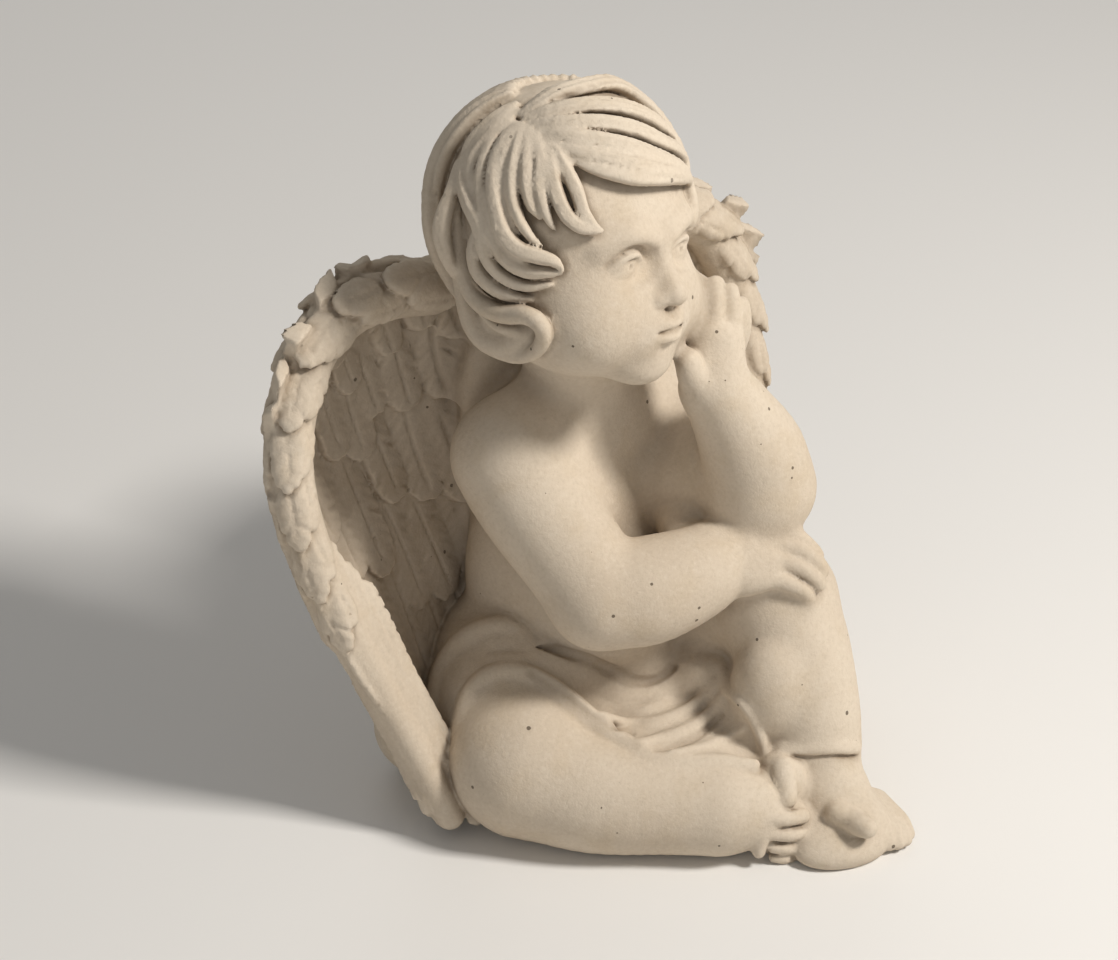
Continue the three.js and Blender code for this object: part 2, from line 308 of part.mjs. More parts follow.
function wing(side) {
  const Y = rot([0, 0, WING_YAW]), piv = app(Y, LEFT_PIVOT);
  const pw = [WING_ORIGIN[0] + piv[0], WING_ORIGIN[1] + piv[1], piv[2] + LEFT_DROP];
  const M = mul(rot([0, 0, WING_YAW + LEFT_SWEEP]), rot([0, LEFT_ROLL, 0]));
  const out = (a, y, z) => { // wing frame -> statue frame
    if (side < 0) { const p = app(Y, [-a, y, 0]); return [WING_ORIGIN[0] + p[0], WING_ORIGIN[1] + p[1], z]; }
    const q = app(M, [a - LEFT_PIVOT[0], y - LEFT_PIVOT[1], z - LEFT_PIVOT[2]]); return [pw[0] + q[0], pw[1] + q[1], pw[2] + q[2]];
  };
  const into = (x, y, z) => { if (side < 0) { const p = appT(Y, [x - WING_ORIGIN[0], y - WING_ORIGIN[1], 0]); return [-p[0], p[1], z]; } const q = appT(M, [x - pw[0], y - pw[1], z - pw[2]]); return [q[0] + LEFT_PIVOT[0], q[1] + LEFT_PIVOT[1], q[2] + LEFT_PIVOT[2]]; };
  const front = tiers(FRONT_TIERS, -0.2), back = tiers(BACK_TIERS, -0.24), o = out(0, 0, 0);
  add({ c: out(90, 30, 150), br: 190, k: 1.5, sub: false, f(x, y, z) {
    const [a, b, c] = into(x, y, z), y0 = blade(a, c), ga = (blade(a + 2, c) - y0) / 2, gz = (blade(a, c + 2) - y0) / 2;
    KK = 1.5; if (b < y0 - 45 || b > y0 + 55) return 30;
    const base = Math.min(0, -outlineDist(a, c) * 2.4);
    return clamp(Math.max(y0 - shingle(front, a, c, base) - b, b - (y0 + WING_THICK + 0.75 * shingle(back, a, c, base))) * 0.62 / Math.sqrt(1 + Math.min(ga * ga + gz * gz, 6)), -60, 60);
  } });
  // heavy roll round the leading edge
  const C = catmull(RIM, 8), S = [0]; for (let i = 1; i < C.length; i++) S.push(S[i - 1] + Math.hypot(...sub3(C[i], C[i - 1])));
  const onRim = (t) => { const s = clamp(t, 0, 1) * S[S.length - 1]; let j = 0; while (j < S.length - 2 && s >= S[j + 1]) j++; const f = (s - S[j]) / (S[j + 1] - S[j]); return C[j].map((v, i) => v * (1 - f) + C[j + 1][i] * f); };
  const rollR = (t) => 13.5 - 6 * clamp(t, 0, 1);
  const radial = (t) => { const p = onRim(t); return unit([p[0] - 86, 0, (p[2] - 165) * (p[2] > 165 ? 1.25 : 0.35)]); };
  const rollC = (t) => { const p = onRim(t), d = radial(t), r = rollR(t) * 0.9; return [p[0] - d[0] * r, p[1] - d[1] * r, p[2] - d[2] * r]; };
  add(Tube(Array.from({ length: 15 }, (_, i) => [...out(...rollC(i / 14)), rollR(i / 14)]), 3, 2));
  add(Ell(out(26, 40, 205), [26, 15, 52], 14, rot([0, 0, WING_YAW]))); add(Ell(out(24, 44, 150), [20, 14, 60], 12, rot([0, 0, WING_YAW])));
  // overlapping coverts lying on the roll like long pods, in three ranks
  const RANKS = [{ mix: [0.75, 0.65], start: 0.0, half: 24, wide: 11, lift: 1.5 }, { mix: [0.05, 1], start: -0.03, half: 22, wide: 8.5, lift: 0.5 }, { mix: [0.7, -0.7], start: 0.02, half: 24, wide: 11, lift: 1.2 }];
  for (const R of RANKS) for (let i = 0; i < 8; i++) {
    const t = R.start + 0.045 + i * 0.085, c = rollC(t), d = radial(t), q0 = rollC(t - 0.02), q1 = rollC(t + 0.02);
    const n0 = unit([d[0] * R.mix[0], -R.mix[1], d[2] * R.mix[0]]), along0 = unit(sub3(q1, q0)), r = rollR(t) - 1.5 + R.lift;
    const along = unit([along0[0] + n0[0] * 0.16, along0[1] + n0[1] * 0.16, along0[2] + n0[2] * 0.16]);
    const P = out(c[0] + n0[0] * r, c[1] + n0[1] * r, c[2] + n0[2] * r), ax = unit(sub3(out(...along), o)), nn0 = unit(sub3(out(...n0), o));
    const h = dot3(nn0, ax), nn = unit([nn0[0] - ax[0] * h, nn0[1] - ax[1] * h, nn0[2] - ax[2] * h]), bb = cross3(nn, ax), sc = 1 - 0.035 * i;
    add(Ell(P, [R.half * sc, R.wide * sc, 5 * sc], 1.2, [ax[0], bb[0], nn[0], ax[1], bb[1], nn[1], ax[2], bb[2], nn[2]]));
  }
  // long primaries running down to the wing tip
  for (let i = 0; i < 5; i++) {
    const t0 = 0.47 + 0.04 * i, row = [];
    for (let j = 0; j < 6; j++) { const v = j / 5, p = onRim(t0 + (Math.min(1, 0.8 + 0.05 * i) - t0) * v), inw = 4 + i * 5.2 * (1 - 0.45 * v) + 2 * v; row.push([...out(p[0] - inw, p[1] - 7 - 0.6 * i + inw * 0.28, p[2] + inw * 0.15), j > 0 && j < 5 ? 8.5 : 6.5]); }
    add(Tube(row, 0.8, 3, 0.42, null, sub3(out(0, -1, 0.3), o)));
  }
}

// ---------------------------------------------------------------- skin of the field
// marching tetrahedra on a regular grid, evaluated only in blocks the skin passes through
function skin(lo, hi, h) {
  const B = 6, nb = [0, 1, 2].map((i) => Math.ceil((hi[i] - lo[i]) / h / B));
  const N = nb.map((v) => v * B + 1), D = new Float32Array(N[0] * N[1] * N[2]).fill(FAR);
  const at = (i, j, k) => (i * N[1] + j) * N[2] + k, hw = B * h / 2, hd = hw * Math.sqrt(3);
  for (let I = 0; I < nb[0]; I++) for (let J = 0; J < nb[1]; J++) for (let K = 0; K < nb[2]; K++) {
    const c = [lo[0] + (I * B + B / 2) * h, lo[1] + (J * B + B / 2) * h, lo[2] + (K * B + B / 2) * h];
    const wide = near(MASSES, c, 0, hd * 1.6 + 5), d0 = field(wide, c[0], c[1], c[2]);
    const on = Math.abs(d0) < hd * 1.15 + 2, list = on ? near(MASSES, c, hd, 2 * h) : null;
    if (!on && d0 > 0) continue;
    for (let i = 0; i <= B; i++) for (let j = 0; j <= B; j++) for (let k = 0; k <= B; k++) {
      const e = at(I * B + i, J * B + j, K * B + k);
      if (on) D[e] = field(list, lo[0] + (I * B + i) * h, lo[1] + (J * B + j) * h, lo[2] + (K * B + k) * h);
      else if (D[e] === FAR) D[e] = -FAR;
    }
  }
  // keep the one largest solid, drop any stray crumb, fill sealed hollows
  largest(D, N, true); largest(D, N, false);
  const T = [[0, 1, 3, 7], [0, 3, 2, 7], [0, 2, 6, 7], [0, 6, 4, 7], [0, 4, 5, 7], [0, 5, 1, 7]];
  const P = [], F = [], seen = new Map();
  const off = [0, 1, 2, 3, 4, 5, 6, 7].map((c) => [c & 1, (c >> 1) & 1, (c >> 2) & 1]);
  const total = D.length;
  function cut(a, b) {
    if (a > b) { const t = a; a = b; b = t; }
    const key = a * total + b; let v = seen.get(key); if (v !== undefined) return v;
    const t = clamp(D[a] / (D[a] - D[b]), 0.08, 0.92), pos = (e) => [Math.floor(e / (N[1] * N[2])), Math.floor(e / N[2]) % N[1], e % N[2]];
    const p = pos(a), q = pos(b); v = P.length / 3; seen.set(key, v);
    for (let i = 0; i < 3; i++) P.push(lo[i] + h * (p[i] + (q[i] - p[i]) * t));
    return v;
  }
  for (let i = 0; i + 1 < N[0]; i++) for (let j = 0; j + 1 < N[1]; j++) for (let k = 0; k + 1 < N[2]; k++) {
    const e = off.map((o) => at(i + o[0], j + o[1], k + o[2])); let m = 0;
    for (let c = 0; c < 8; c++) if (D[e[c]] < 0) m++;
    if (m === 0 || m === 8) continue;
    for (const t of T) {
      const ins = t.filter((c) => D[e[c]] < 0), out = t.filter((c) => D[e[c]] >= 0);
      if (!ins.length || !out.length) continue;
      let poly;
      if (ins.length === 1) poly = out.map((o) => cut(e[ins[0]], e[o]));
      else if (out.length === 1) poly = ins.map((o) => cut(e[o], e[out[0]]));
      else poly = [cut(e[ins[0]], e[out[0]]), cut(e[ins[0]], e[out[1]]), cut(e[ins[1]], e[out[1]]), cut(e[ins[1]], e[out[0]])];
      const g = [0, 0, 0];      // points from inside to outside
      for (const c of out) for (let x = 0; x < 3; x++) g[x] += off[c][x] / out.length;
      for (const c of ins) for (let x = 0; x < 3; x++) g[x] -= off[c][x] / ins.length;
      const V = (n) => [P[3 * n], P[3 * n + 1], P[3 * n + 2]];
      const nn = cross3(sub3(V(poly[1]), V(poly[0])), sub3(V(poly[2]), V(poly[0])));
      if (dot3(nn, g) < 0) poly.reverse();
      F.push(poly[0], poly[1], poly[2]); if (poly.length === 4) F.push(poly[0], poly[2], poly[3]);
    }
  }
  return { P, F };
}
function largest(D, N, inside) {
  const lab = new Int32Array(D.length), is = (e) => (inside ? D[e] < 0 : D[e] >= 0), s = [N[1] * N[2], N[2], 1];
  let n = 0, best = 0, size = 0; const st = [];
  for (let e0 = 0; e0 < D.length; e0++) {
    if (lab[e0] || !is(e0)) continue;
    n++; let c = 0; st.push(e0); lab[e0] = n;
    while (st.length) {
      const e = st.pop(); c++;
      const i = Math.floor(e / s[0]), j = Math.floor(e / s[1]) % N[1], k = e % N[2];
      const go = (ok, f) => { if (ok && !lab[f] && is(f)) { lab[f] = n; st.push(f); } };
      go(i > 0, e - s[0]); go(i < N[0] - 1, e + s[0]); go(j > 0, e - s[1]); go(j < N[1] - 1, e + s[1]); go(k > 0, e - 1); go(k < N[2] - 1, e + 1);
    }
    if (c > size) { size = c; best = n; }
  }
  for (let e = 0; e < D.length; e++) if (lab[e] && lab[e] !== best) D[e] = inside ? 1 : -1;
}

// ---------------------------------------------------------------- fewer, larger facets
// quadric edge collapse that keeps the skin closed, single and outward
function thin(P, F, target) {
  const nv = P.length / 3, nf = F.length / 3, Q = new Float64Array(nv * 10), alive = new Uint8Array(nf).fill(1), dead = new Uint8Array(nv);
  const vf = Array.from({ length: nv }, () => []);
  const X = Float64Array.from(P), T = Int32Array.from(F), ver = new Int32Array(nv);
  const norm = (a, b, c) => { const ux = X[3 * b] - X[3 * a], uy = X[3 * b + 1] - X[3 * a + 1], uz = X[3 * b + 2] - X[3 * a + 2], vx = X[3 * c] - X[3 * a], vy = X[3 * c + 1] - X[3 * a + 1], vz = X[3 * c + 2] - X[3 * a + 2]; return [uy * vz - uz * vy, uz * vx - ux * vz, ux * vy - uy * vx]; };
  for (let f = 0; f < nf; f++) {
    const a = T[3 * f], b = T[3 * f + 1], c = T[3 * f + 2]; vf[a].push(f); vf[b].push(f); vf[c].push(f);
    const n = norm(a, b, c), l = Math.hypot(...n); if (l < 1e-12) continue;
    const x = n[0] / l, y = n[1] / l, z = n[2] / l, d = -(x * X[3 * a] + y * X[3 * a + 1] + z * X[3 * a + 2]), w = l / 2;
    const q = [x * x, x * y, x * z, x * d, y * y, y * z, y * d, z * z, z * d, d * d];
    for (const v of [a, b, c]) for (let i = 0; i < 10; i++) Q[10 * v + i] += q[i] * w;
  }
  const err = (q, x, y, z) => q[0] * x * x + 2 * q[1] * x * y + 2 * q[2] * x * z + 2 * q[3] * x + q[4] * y * y + 2 * q[5] * y * z + 2 * q[6] * y + q[7] * z * z + 2 * q[8] * z + q[9];
  const q = new Float64Array(10);
  function best(a, b) {
    for (let i = 0; i < 10; i++) q[i] = Q[10 * a + i] + Q[10 * b + i];
    const A = q[0], B = q[1], C = q[2], E = q[4], G = q[5], H = q[7];
    const det = A * (E * H - G * G) - B * (B * H - G * C) + C * (B * G - E * C);
    const mx = (X[3 * a] + X[3 * b]) / 2, my = (X[3 * a + 1] + X[3 * b + 1]) / 2, mz = (X[3 * a + 2] + X[3 * b + 2]) / 2;
    const len = Math.hypot(X[3 * a] - X[3 * b], X[3 * a + 1] - X[3 * b + 1], X[3 * a + 2] - X[3 * b + 2]);
    let x = mx, y = my, z = mz, ok = false;
    if (Math.abs(det) > 1e-3 * Math.max(1e-9, (A + E + H) ** 3) * 0.01) {
      const r0 = -q[3], r1 = -q[6], r2 = -q[8];
      x = (r0 * (E * H - G * G) - B * (r1 * H - G * r2) + C * (r1 * G - E * r2)) / det;
      y = (A * (r1 * H - G * r2) - r0 * (B * H - G * C) + C * (B * r2 - r1 * C)) / det;
      z = (A * (E * r2 - r1 * G) - B * (B * r2 - r1 * C) + r0 * (B * G - E * C)) / det;
      ok = Math.hypot(x - mx, y - my, z - mz) < len * 1.5;
    }
    if (!ok) {
      let e0 = err(q, mx, my, mz); x = mx; y = my; z = mz;
      for (const v of [a, b]) { const e = err(q, X[3 * v], X[3 * v + 1], X[3 * v + 2]); if (e < e0) { e0 = e; x = X[3 * v]; y = X[3 * v + 1]; z = X[3 * v + 2]; } }
    }
    return [Math.max(0, err(q, x, y, z)) + 1e-5 * len * len, x, y, z];
  }
  // binary heap of candidate edges
  const hc = [], ha = [], hb = [], hs = [];
  const swap = (i, j) => { for (const h of [hc, ha, hb, hs]) { const t = h[i]; h[i] = h[j]; h[j] = t; } };
  function push(a, b) {
    const c = best(a, b)[0]; hc.push(c); ha.push(a); hb.push(b); hs.push(ver[a] + ver[b]);
    let i = hc.length - 1; while (i > 0) { const p = (i - 1) >> 1; if (hc[p] <= hc[i]) break; swap(i, p); i = p; }
  }
  function pop() {
    const r = [ha[0], hb[0], hs[0]], n = hc.length - 1; swap(0, n); hc.pop(); ha.pop(); hb.pop(); hs.pop();
    let i = 0; for (;;) { let l = 2 * i + 1; if (l >= n) break; if (l + 1 < n && hc[l + 1] < hc[l]) l++; if (hc[i] <= hc[l]) break; swap(i, l); i = l; }
    return r;
  }
  const ring = (v) => { const s = new Set(); for (const f of vf[v]) for (let i = 0; i < 3; i++) if (T[3 * f + i] !== v) s.add(T[3 * f + i]); return s; };
  for (let f = 0; f < nf; f++) for (let i = 0; i < 3; i++) { const a = T[3 * f + i], b = T[3 * f + (i + 1) % 3]; if (a < b) push(a, b); }
  let left = nf;
  while (left > target && hc.length) {
    const [a, b, s] = pop(); if (dead[a] || dead[b] || ver[a] + ver[b] !== s) continue;
    const [, x, y, z] = best(a, b), ra = ring(a), rb = ring(b); let common = 0; for (const v of ra) if (rb.has(v)) common++;
    if (common !== 2) continue;
    const ox = [X[3 * a], X[3 * a + 1], X[3 * a + 2], X[3 * b], X[3 * b + 1], X[3 * b + 2]]; let bad = false;
    for (const [v, o] of [[a, b], [b, a]]) {
      if (bad) break;
      for (const f of vf[v]) {
        const t = [T[3 * f], T[3 * f + 1], T[3 * f + 2]]; if (t.includes(o)) continue;
        const n0 = norm(...t), l0 = Math.hypot(...n0), k0 = [X[3 * v], X[3 * v + 1], X[3 * v + 2]];
        X[3 * v] = x; X[3 * v + 1] = y; X[3 * v + 2] = z; const n1 = norm(...t), l1 = Math.hypot(...n1);
        let peri = 0; for (let i = 0; i < 3; i++) { const p = t[i], r = t[(i + 1) % 3]; peri += (X[3 * p] - X[3 * r]) ** 2 + (X[3 * p + 1] - X[3 * r + 1]) ** 2 + (X[3 * p + 2] - X[3 * r + 2]) ** 2; }
        [X[3 * v], X[3 * v + 1], X[3 * v + 2]] = k0;
        if (l1 < 1e-6 || l1 / peri < 0.03 || (l0 > 1e-9 && dot3(n0, n1) < 0.25 * l0 * l1)) { bad = true; break; }
      }
    }
    if (bad) continue;
    X[3 * a] = x; X[3 * a + 1] = y; X[3 * a + 2] = z; for (let i = 0; i < 10; i++) Q[10 * a + i] += Q[10 * b + i];
    const keep = [];
    for (const f of vf[b]) {
      const t = [T[3 * f], T[3 * f + 1], T[3 * f + 2]];
      if (t.includes(a)) { alive[f] = 0; left--; for (const v of t) if (v !== a && v !== b) vf[v] = vf[v].filter((g) => g !== f); } else { for (let i = 0; i < 3; i++) if (T[3 * f + i] === b) T[3 * f + i] = a; keep.push(f); }
    }
    vf[a] = vf[a].filter((f) => alive[f]).concat(keep); dead[b] = 1; vf[b] = []; ver[a]++;
    for (const v of ring(a)) push(Math.min(a, v), Math.max(a, v));
  }
  const id = new Int32Array(nv).fill(-1), P2 = [], F2 = [];
  for (let f = 0; f < nf; f++) if (alive[f]) for (let i = 0; i < 3; i++) { const v = T[3 * f + i]; if (id[v] < 0) { id[v] = P2.length / 3; P2.push(X[3 * v], X[3 * v + 1], X[3 * v + 2]); } F2.push(id[v]); }
  return { P: P2, F: F2 };
}

// ---------------------------------------------------------------- the statue
body(); face(); hair(); cloth(); wing(-1); wing(1);
const raw = skin([-215, -190, -4], [190, 170, 412], GRID);
const low = thin(raw.P, raw.F, FACETS);
for (let i = 0; i < low.P.length; i += 3) { low.P[i] -= CENTRE[0]; low.P[i + 1] -= CENTRE[1]; if (low.P[i + 2] < 0.25) low.P[i + 2] = 0; }
const geometry = new THREE.BufferGeometry();
geometry.setAttribute('position', new THREE.BufferAttribute(new Float32Array(low.P), 3));
geometry.setIndex(low.F);
geometry.computeVertexNormals();
const statue = new THREE.Mesh(geometry, new THREE.MeshStandardMaterial(STONE));
statue.name = 'putto';
const group = new THREE.Group();
group.name = 'putto_statue';
group.add(statue);
export default group;
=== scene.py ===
"""Looks of the seated putto statue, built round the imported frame. Metres in the scene; the carving is worked out in millimetres."""
import math
import time
import bpy
import numpy as np
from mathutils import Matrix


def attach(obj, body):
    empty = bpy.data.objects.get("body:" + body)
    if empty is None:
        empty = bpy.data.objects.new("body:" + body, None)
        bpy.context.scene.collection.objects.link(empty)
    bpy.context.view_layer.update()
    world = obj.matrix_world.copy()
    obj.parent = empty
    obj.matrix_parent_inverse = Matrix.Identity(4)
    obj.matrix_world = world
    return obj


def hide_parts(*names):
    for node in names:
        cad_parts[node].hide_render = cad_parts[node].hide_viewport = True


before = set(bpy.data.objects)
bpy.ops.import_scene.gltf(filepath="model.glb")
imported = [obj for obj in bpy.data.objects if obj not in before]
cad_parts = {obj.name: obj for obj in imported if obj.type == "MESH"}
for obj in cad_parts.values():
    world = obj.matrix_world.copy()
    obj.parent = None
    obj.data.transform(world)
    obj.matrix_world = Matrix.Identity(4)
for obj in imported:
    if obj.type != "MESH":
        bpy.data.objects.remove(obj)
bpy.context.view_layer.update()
T0 = time.time()

# ---------------------------------------------------------------- driving sizes (mm)
GRID = 1.2
TRIANGLES = 196000
CENTRE = (-15.2, -10.7)              # middle of the footprint
HEAD = np.array([-30, -3, 322]); HEAD_TURN, HEAD_LIFT, HEAD_TILT = 26, 5, 9
HAIR_C = np.array([0, -5, 12]); HAIR_R = np.array([60, 62, 64])
LOW, HIGH = [-215.0, -190.0, -4.0], [190.0, 170.0, 412.0]

# ---------------------------------------------------------------- small maths
F4 = np.float32
FAR = F4(60)
BAND = 10.0                    # how far from the skin the distances must be right


def rotm(q):
    rx, ry, rz = [math.radians(v) for v in q]
    cx, sx, cy, sy, cz, sz = math.cos(rx), math.sin(rx), math.cos(ry), math.sin(ry), math.cos(rz), math.sin(rz)
    X = np.array([[1, 0, 0], [0, cx, -sx], [0, sx, cx]])
    Y = np.array([[cy, 0, sy], [0, 1, 0], [-sy, 0, cy]])
    Z = np.array([[cz, -sz, 0], [sz, cz, 0], [0, 0, 1]])
    return Z @ Y @ X


def unit(v):
    v = np.asarray(v, float)
    return v / (np.linalg.norm(v) + 1e-12)


def smin(a, b, k):
    h = np.maximum(k - np.abs(a - b), 0) / k
    return np.minimum(a, b) - h * h * (k * F4(0.25))


def catmull(P, n):
    P = np.asarray(P, float)
    if len(P) == 2:
        t = np.linspace(0, 1, n + 1)[:, None]
        return P[0] * (1 - t) + P[1] * t
    Q = np.vstack([2 * P[0] - P[1], P, 2 * P[-1] - P[-2]])
    out = []
    for i in range(len(P) - 1):
        p0, p1, p2, p3 = Q[i:i + 4]
        for j in range(n):
            t = j / n
            out.append(0.5 * ((2 * p1) + (-p0 + p2) * t + (2 * p0 - 5 * p1 + 4 * p2 - p3) * t * t + (-p0 + 3 * p1 - 3 * p2 + p3) * t ** 3))
    out.append(P[-1])
    return np.array(out)


# ---------------------------------------------------------------- solid masses
# each mass gives a distance for points X, Y, Z; bc and br bound it, k is how softly it melts into the rest
class Ell:
    def __init__(s, c, r, k=10.0, q=None, sub=False):
        s.bc = np.array(c, float); s.br = float(max(r)); s.k = k; s.sub = sub
        s.r = [F4(v) for v in r]
        M = None if q is None else (q if isinstance(q, np.ndarray) else rotm(q))
        s.M = None if M is None else M.astype(F4)

    def at(s, X, Y, Z, c, hd):
        x, y, z = X - F4(s.bc[0]), Y - F4(s.bc[1]), Z - F4(s.bc[2])
        M = s.M
        if M is not None:
            x, y, z = x * M[0, 0] + y * M[1, 0] + z * M[2, 0], x * M[0, 1] + y * M[1, 1] + z * M[2, 1], x * M[0, 2] + y * M[1, 2] + z * M[2, 2]
        rx, ry, rz = s.r
        x = x / rx; y = y / ry; z = z / rz
        k0 = np.sqrt(x * x + y * y + z * z) + F4(1e-9)
        x = x / rx; y = y / ry; z = z / rz
        return k0 * (k0 - 1) / (np.sqrt(x * x + y * y + z * z) + F4(1e-9)), s.k


class Tube:
    """spline tube: rows [x, y, z, radius, (k)]; fl flattens the section along the normal (away from nc, or nv); groove = (depth, count, phase)"""
    def __init__(s, p, k=10.0, n=4, fl=None, nc=None, nv=None, sub=False, groove=None):
        p = np.array([list(r) + ([k] if len(r) == 4 else []) for r in p], float)
        S = catmull(p, n); S[:, 3] = np.maximum(S[:, 3], 0.2)
        s.k = float(p[:, 4].max()); s.sub = sub; s.fl = fl; s.groove = groove
        lo = (S[:, :3] - S[:, 3:4]).min(0); hi = (S[:, :3] + S[:, 3:4]).max(0)
        s.bc = (lo + hi) / 2; s.br = float((np.linalg.norm(S[:, :3] - s.bc, axis=1) + S[:, 3]).max())
        s.A = S[:-1]; s.AB = S[1:, :3] - S[:-1, :3]; s.l2 = (s.AB ** 2).sum(1)
        keep = s.l2 > 1e-9
        L = np.concatenate([[0], np.cumsum(np.sqrt(s.l2))])[:-1]
        s.dR = (S[1:, 3:5] - S[:-1, 3:5])[keep]; s.A = s.A[keep]; s.AB = s.AB[keep]; s.l2 = s.l2[keep]; s.L = L[keep]
        if fl is not None:
            s.T = s.AB / np.sqrt(s.l2)[:, None]
            N = (s.A[:, :3] + s.AB / 2 - np.array(nc, float)) if nc is not None else np.tile(unit(nv), (len(s.A), 1))
            N = N - s.T * (N * s.T).sum(1)[:, None]; N /= np.linalg.norm(N, axis=1)[:, None] + 1e-9
            s.N = N; s.B = np.cross(s.T, N)

    def at(s, X, Y, Z, c, hd):
        # segments that can matter for this block
        q = c - s.A[:, :3]; h = np.clip((q * s.AB).sum(1) / s.l2, 0, 1)
        dc = np.linalg.norm(q - h[:, None] * s.AB, axis=1) - (s.A[:, 3] + s.dR[:, 0] * h)
        slack = 0.5 if s.fl is None else s.A[:, 3] * (1 - s.fl) + 1
        near = (dc < dc.min() + 2 * hd + slack) & (dc < hd + s.k + BAND + slack)
        if not near.any():
            return np.full(X.shape, FAR, F4), 1.0
        best = None
        for i in np.nonzero(near)[0]:
            a, ab = s.A[i], s.AB[i]
            qx, qy, qz = X - F4(a[0]), Y - F4(a[1]), Z - F4(a[2])
            h = np.clip((qx * F4(ab[0]) + qy * F4(ab[1]) + qz * F4(ab[2])) * F4(1 / s.l2[i]), 0, 1)
            r = F4(a[3]) + F4(s.dR[i, 0]) * h
            dx, dy, dz = qx - F4(ab[0]) * h, qy - F4(ab[1]) * h, qz - F4(ab[2]) * h
            if s.fl is None:
                dd = np.sqrt(dx * dx + dy * dy + dz * dz) - r
            else:
                n, b, t = s.N[i], s.B[i], s.T[i]
                u = (dx * F4(b[0]) + dy * F4(b[1]) + dz * F4(b[2])) / r
                rf = r * F4(s.fl)
                v = (dx * F4(n[0]) + dy * F4(n[1]) + dz * F4(n[2])) / rf
                w = (dx * F4(t[0]) + dy * F4(t[1]) + dz * F4(t[2])) / r
                k0 = np.sqrt(u * u + v * v + w * w) + F4(1e-9)
                dd = k0 * (k0 - 1) / (np.sqrt((u / r) ** 2 + (v / rf) ** 2 + (w / r) ** 2) + F4(1e-9))
                if s.groove:
                    dp, num, ph = s.groove[:3]
                    dd = dd + F4(dp) * np.clip(r / F4(6), F4(0.2), 1) * (F4(0.5) - F4(0.5) * np.cos(u * F4(num * math.pi) + F4(ph + 0.05 * s.L[i]) + F4(0.05 * math.sqrt(s.l2[i])) * h)) * (v > -0.3)
                    if len(s.groove) > 3:
                        e = F4(0.5) + F4(0.5) * np.cos((F4(s.L[i]) + F4(math.sqrt(s.l2[i])) * h - np.abs(u) * r * F4(0.9)) * F4(0.9) + F4(2 * ph))
                        dd = dd + F4(s.groove[3]) * e ** 8 * np.clip(np.abs(u) * 2 - F4(0.35), 0, 1) * (v > -0.3)
            kk = F4(a[4]) + F4(s.dR[i, 1]) * h
            if best is None:
                best, bk = dd, kk
            else:
                m = dd < best
                best = np.where(m, dd, best); bk = np.where(m, kk, bk)
        return best, bk


class Field:
    """any distance function fn(X, Y, Z, c, hd)"""
    def __init__(s, fn, bc, br, k=1.0, sub=False):
        s.fn = fn; s.bc = np.array(bc, float); s.br = br; s.k = k; s.sub = sub

    def at(s, X, Y, Z, c, hd):
        return s.fn(X, Y, Z, c, hd), s.k


MASSES = []
add = MASSES.append


def prepare():
    global BC, BR, BK
    BC = np.array([m.bc for m in MASSES]); BR = np.array([m.br for m in MASSES]); BK = np.array([m.k for m in MASSES])


def nearby(c, r, band):
    return np.nonzero(np.linalg.norm(BC - c, axis=1) - r - BR <= BK + band)[0]


def field(ids, X, Y, Z, c, hd):
    d = np.full(X.shape, FAR, F4)
    for i in ids:
        m = MASSES[i]
        v, k = m.at(X, Y, Z, c, hd)
        k = F4(k) if np.isscalar(k) else k
        d = -smin(-d, v, k) if m.sub else smin(d, v, k)
    return np.maximum(d, -Z)


def sample(lo, hi, h, B=12):
    """distances on a regular grid, worked out only in blocks the skin passes through"""
    nb = np.ceil((np.array(hi) - lo) / h / B).astype(int)
    D = np.full(nb * B + 1, FAR, F4)
    hw = B * h / 2; hd = hw * math.sqrt(3)
    g = np.arange(B + 1, dtype=F4) * F4(h)
    OX, OY, OZ = [a.ravel() for a in np.meshgrid(g, g, g, indexing="ij")]
    n_on = 0
    for I in range(0, nb[0], 2):
        for J in range(0, nb[1], 2):
            for K in range(0, nb[2], 2):
                # 2x2x2 blocks share one coarse test
                c2 = np.array(lo) + (np.array([I, J, K]) + 1) * B * h
                w2 = nearby(c2, 2 * hd, 4)
                if len(w2) == 0:
                    continue
                one = [np.array([v], F4) for v in c2]
                dc = float(field(nearby(c2, 0, 2 * hd * 1.3 + 6), *one, c2, 0.0)[0])
                sl = tuple(slice(v * B, min((v + 2) * B, nb[i] * B) + 1) for i, v in enumerate((I, J, K)))
                if abs(dc) > 2 * hd * 1.12 + 3:
                    if dc < 0:
                        S = D[sl]; S[S == FAR] = -FAR
                    continue
                for i in range(I, min(I + 2, nb[0])):
                    for j in range(J, min(J + 2, nb[1])):
                        for k in range(K, min(K + 2, nb[2])):
                            c = np.array(lo) + (np.array([i, j, k]) + 0.5) * B * h
                            one = [np.array([v], F4) for v in c]
                            ids = nearby(c, 0, hd * 1.3 + 6)
                            d0 = float(field(ids, *one, c, 0.0)[0])
                            s = tuple(slice(v * B, v * B + B + 1) for v in (i, j, k))
                            if abs(d0) > hd * 1.12 + 2.5:
                                if d0 < 0:
                                    S = D[s]; S[S == FAR] = -FAR
                                continue
                            n_on += 1
                            o = c - hw
                            D[s] = field(nearby(c, hd, 2 * h), OX + F4(o[0]), OY + F4(o[1]), OZ + F4(o[2]), c, hd).reshape(B + 1, B + 1, B + 1)
    return D, n_on


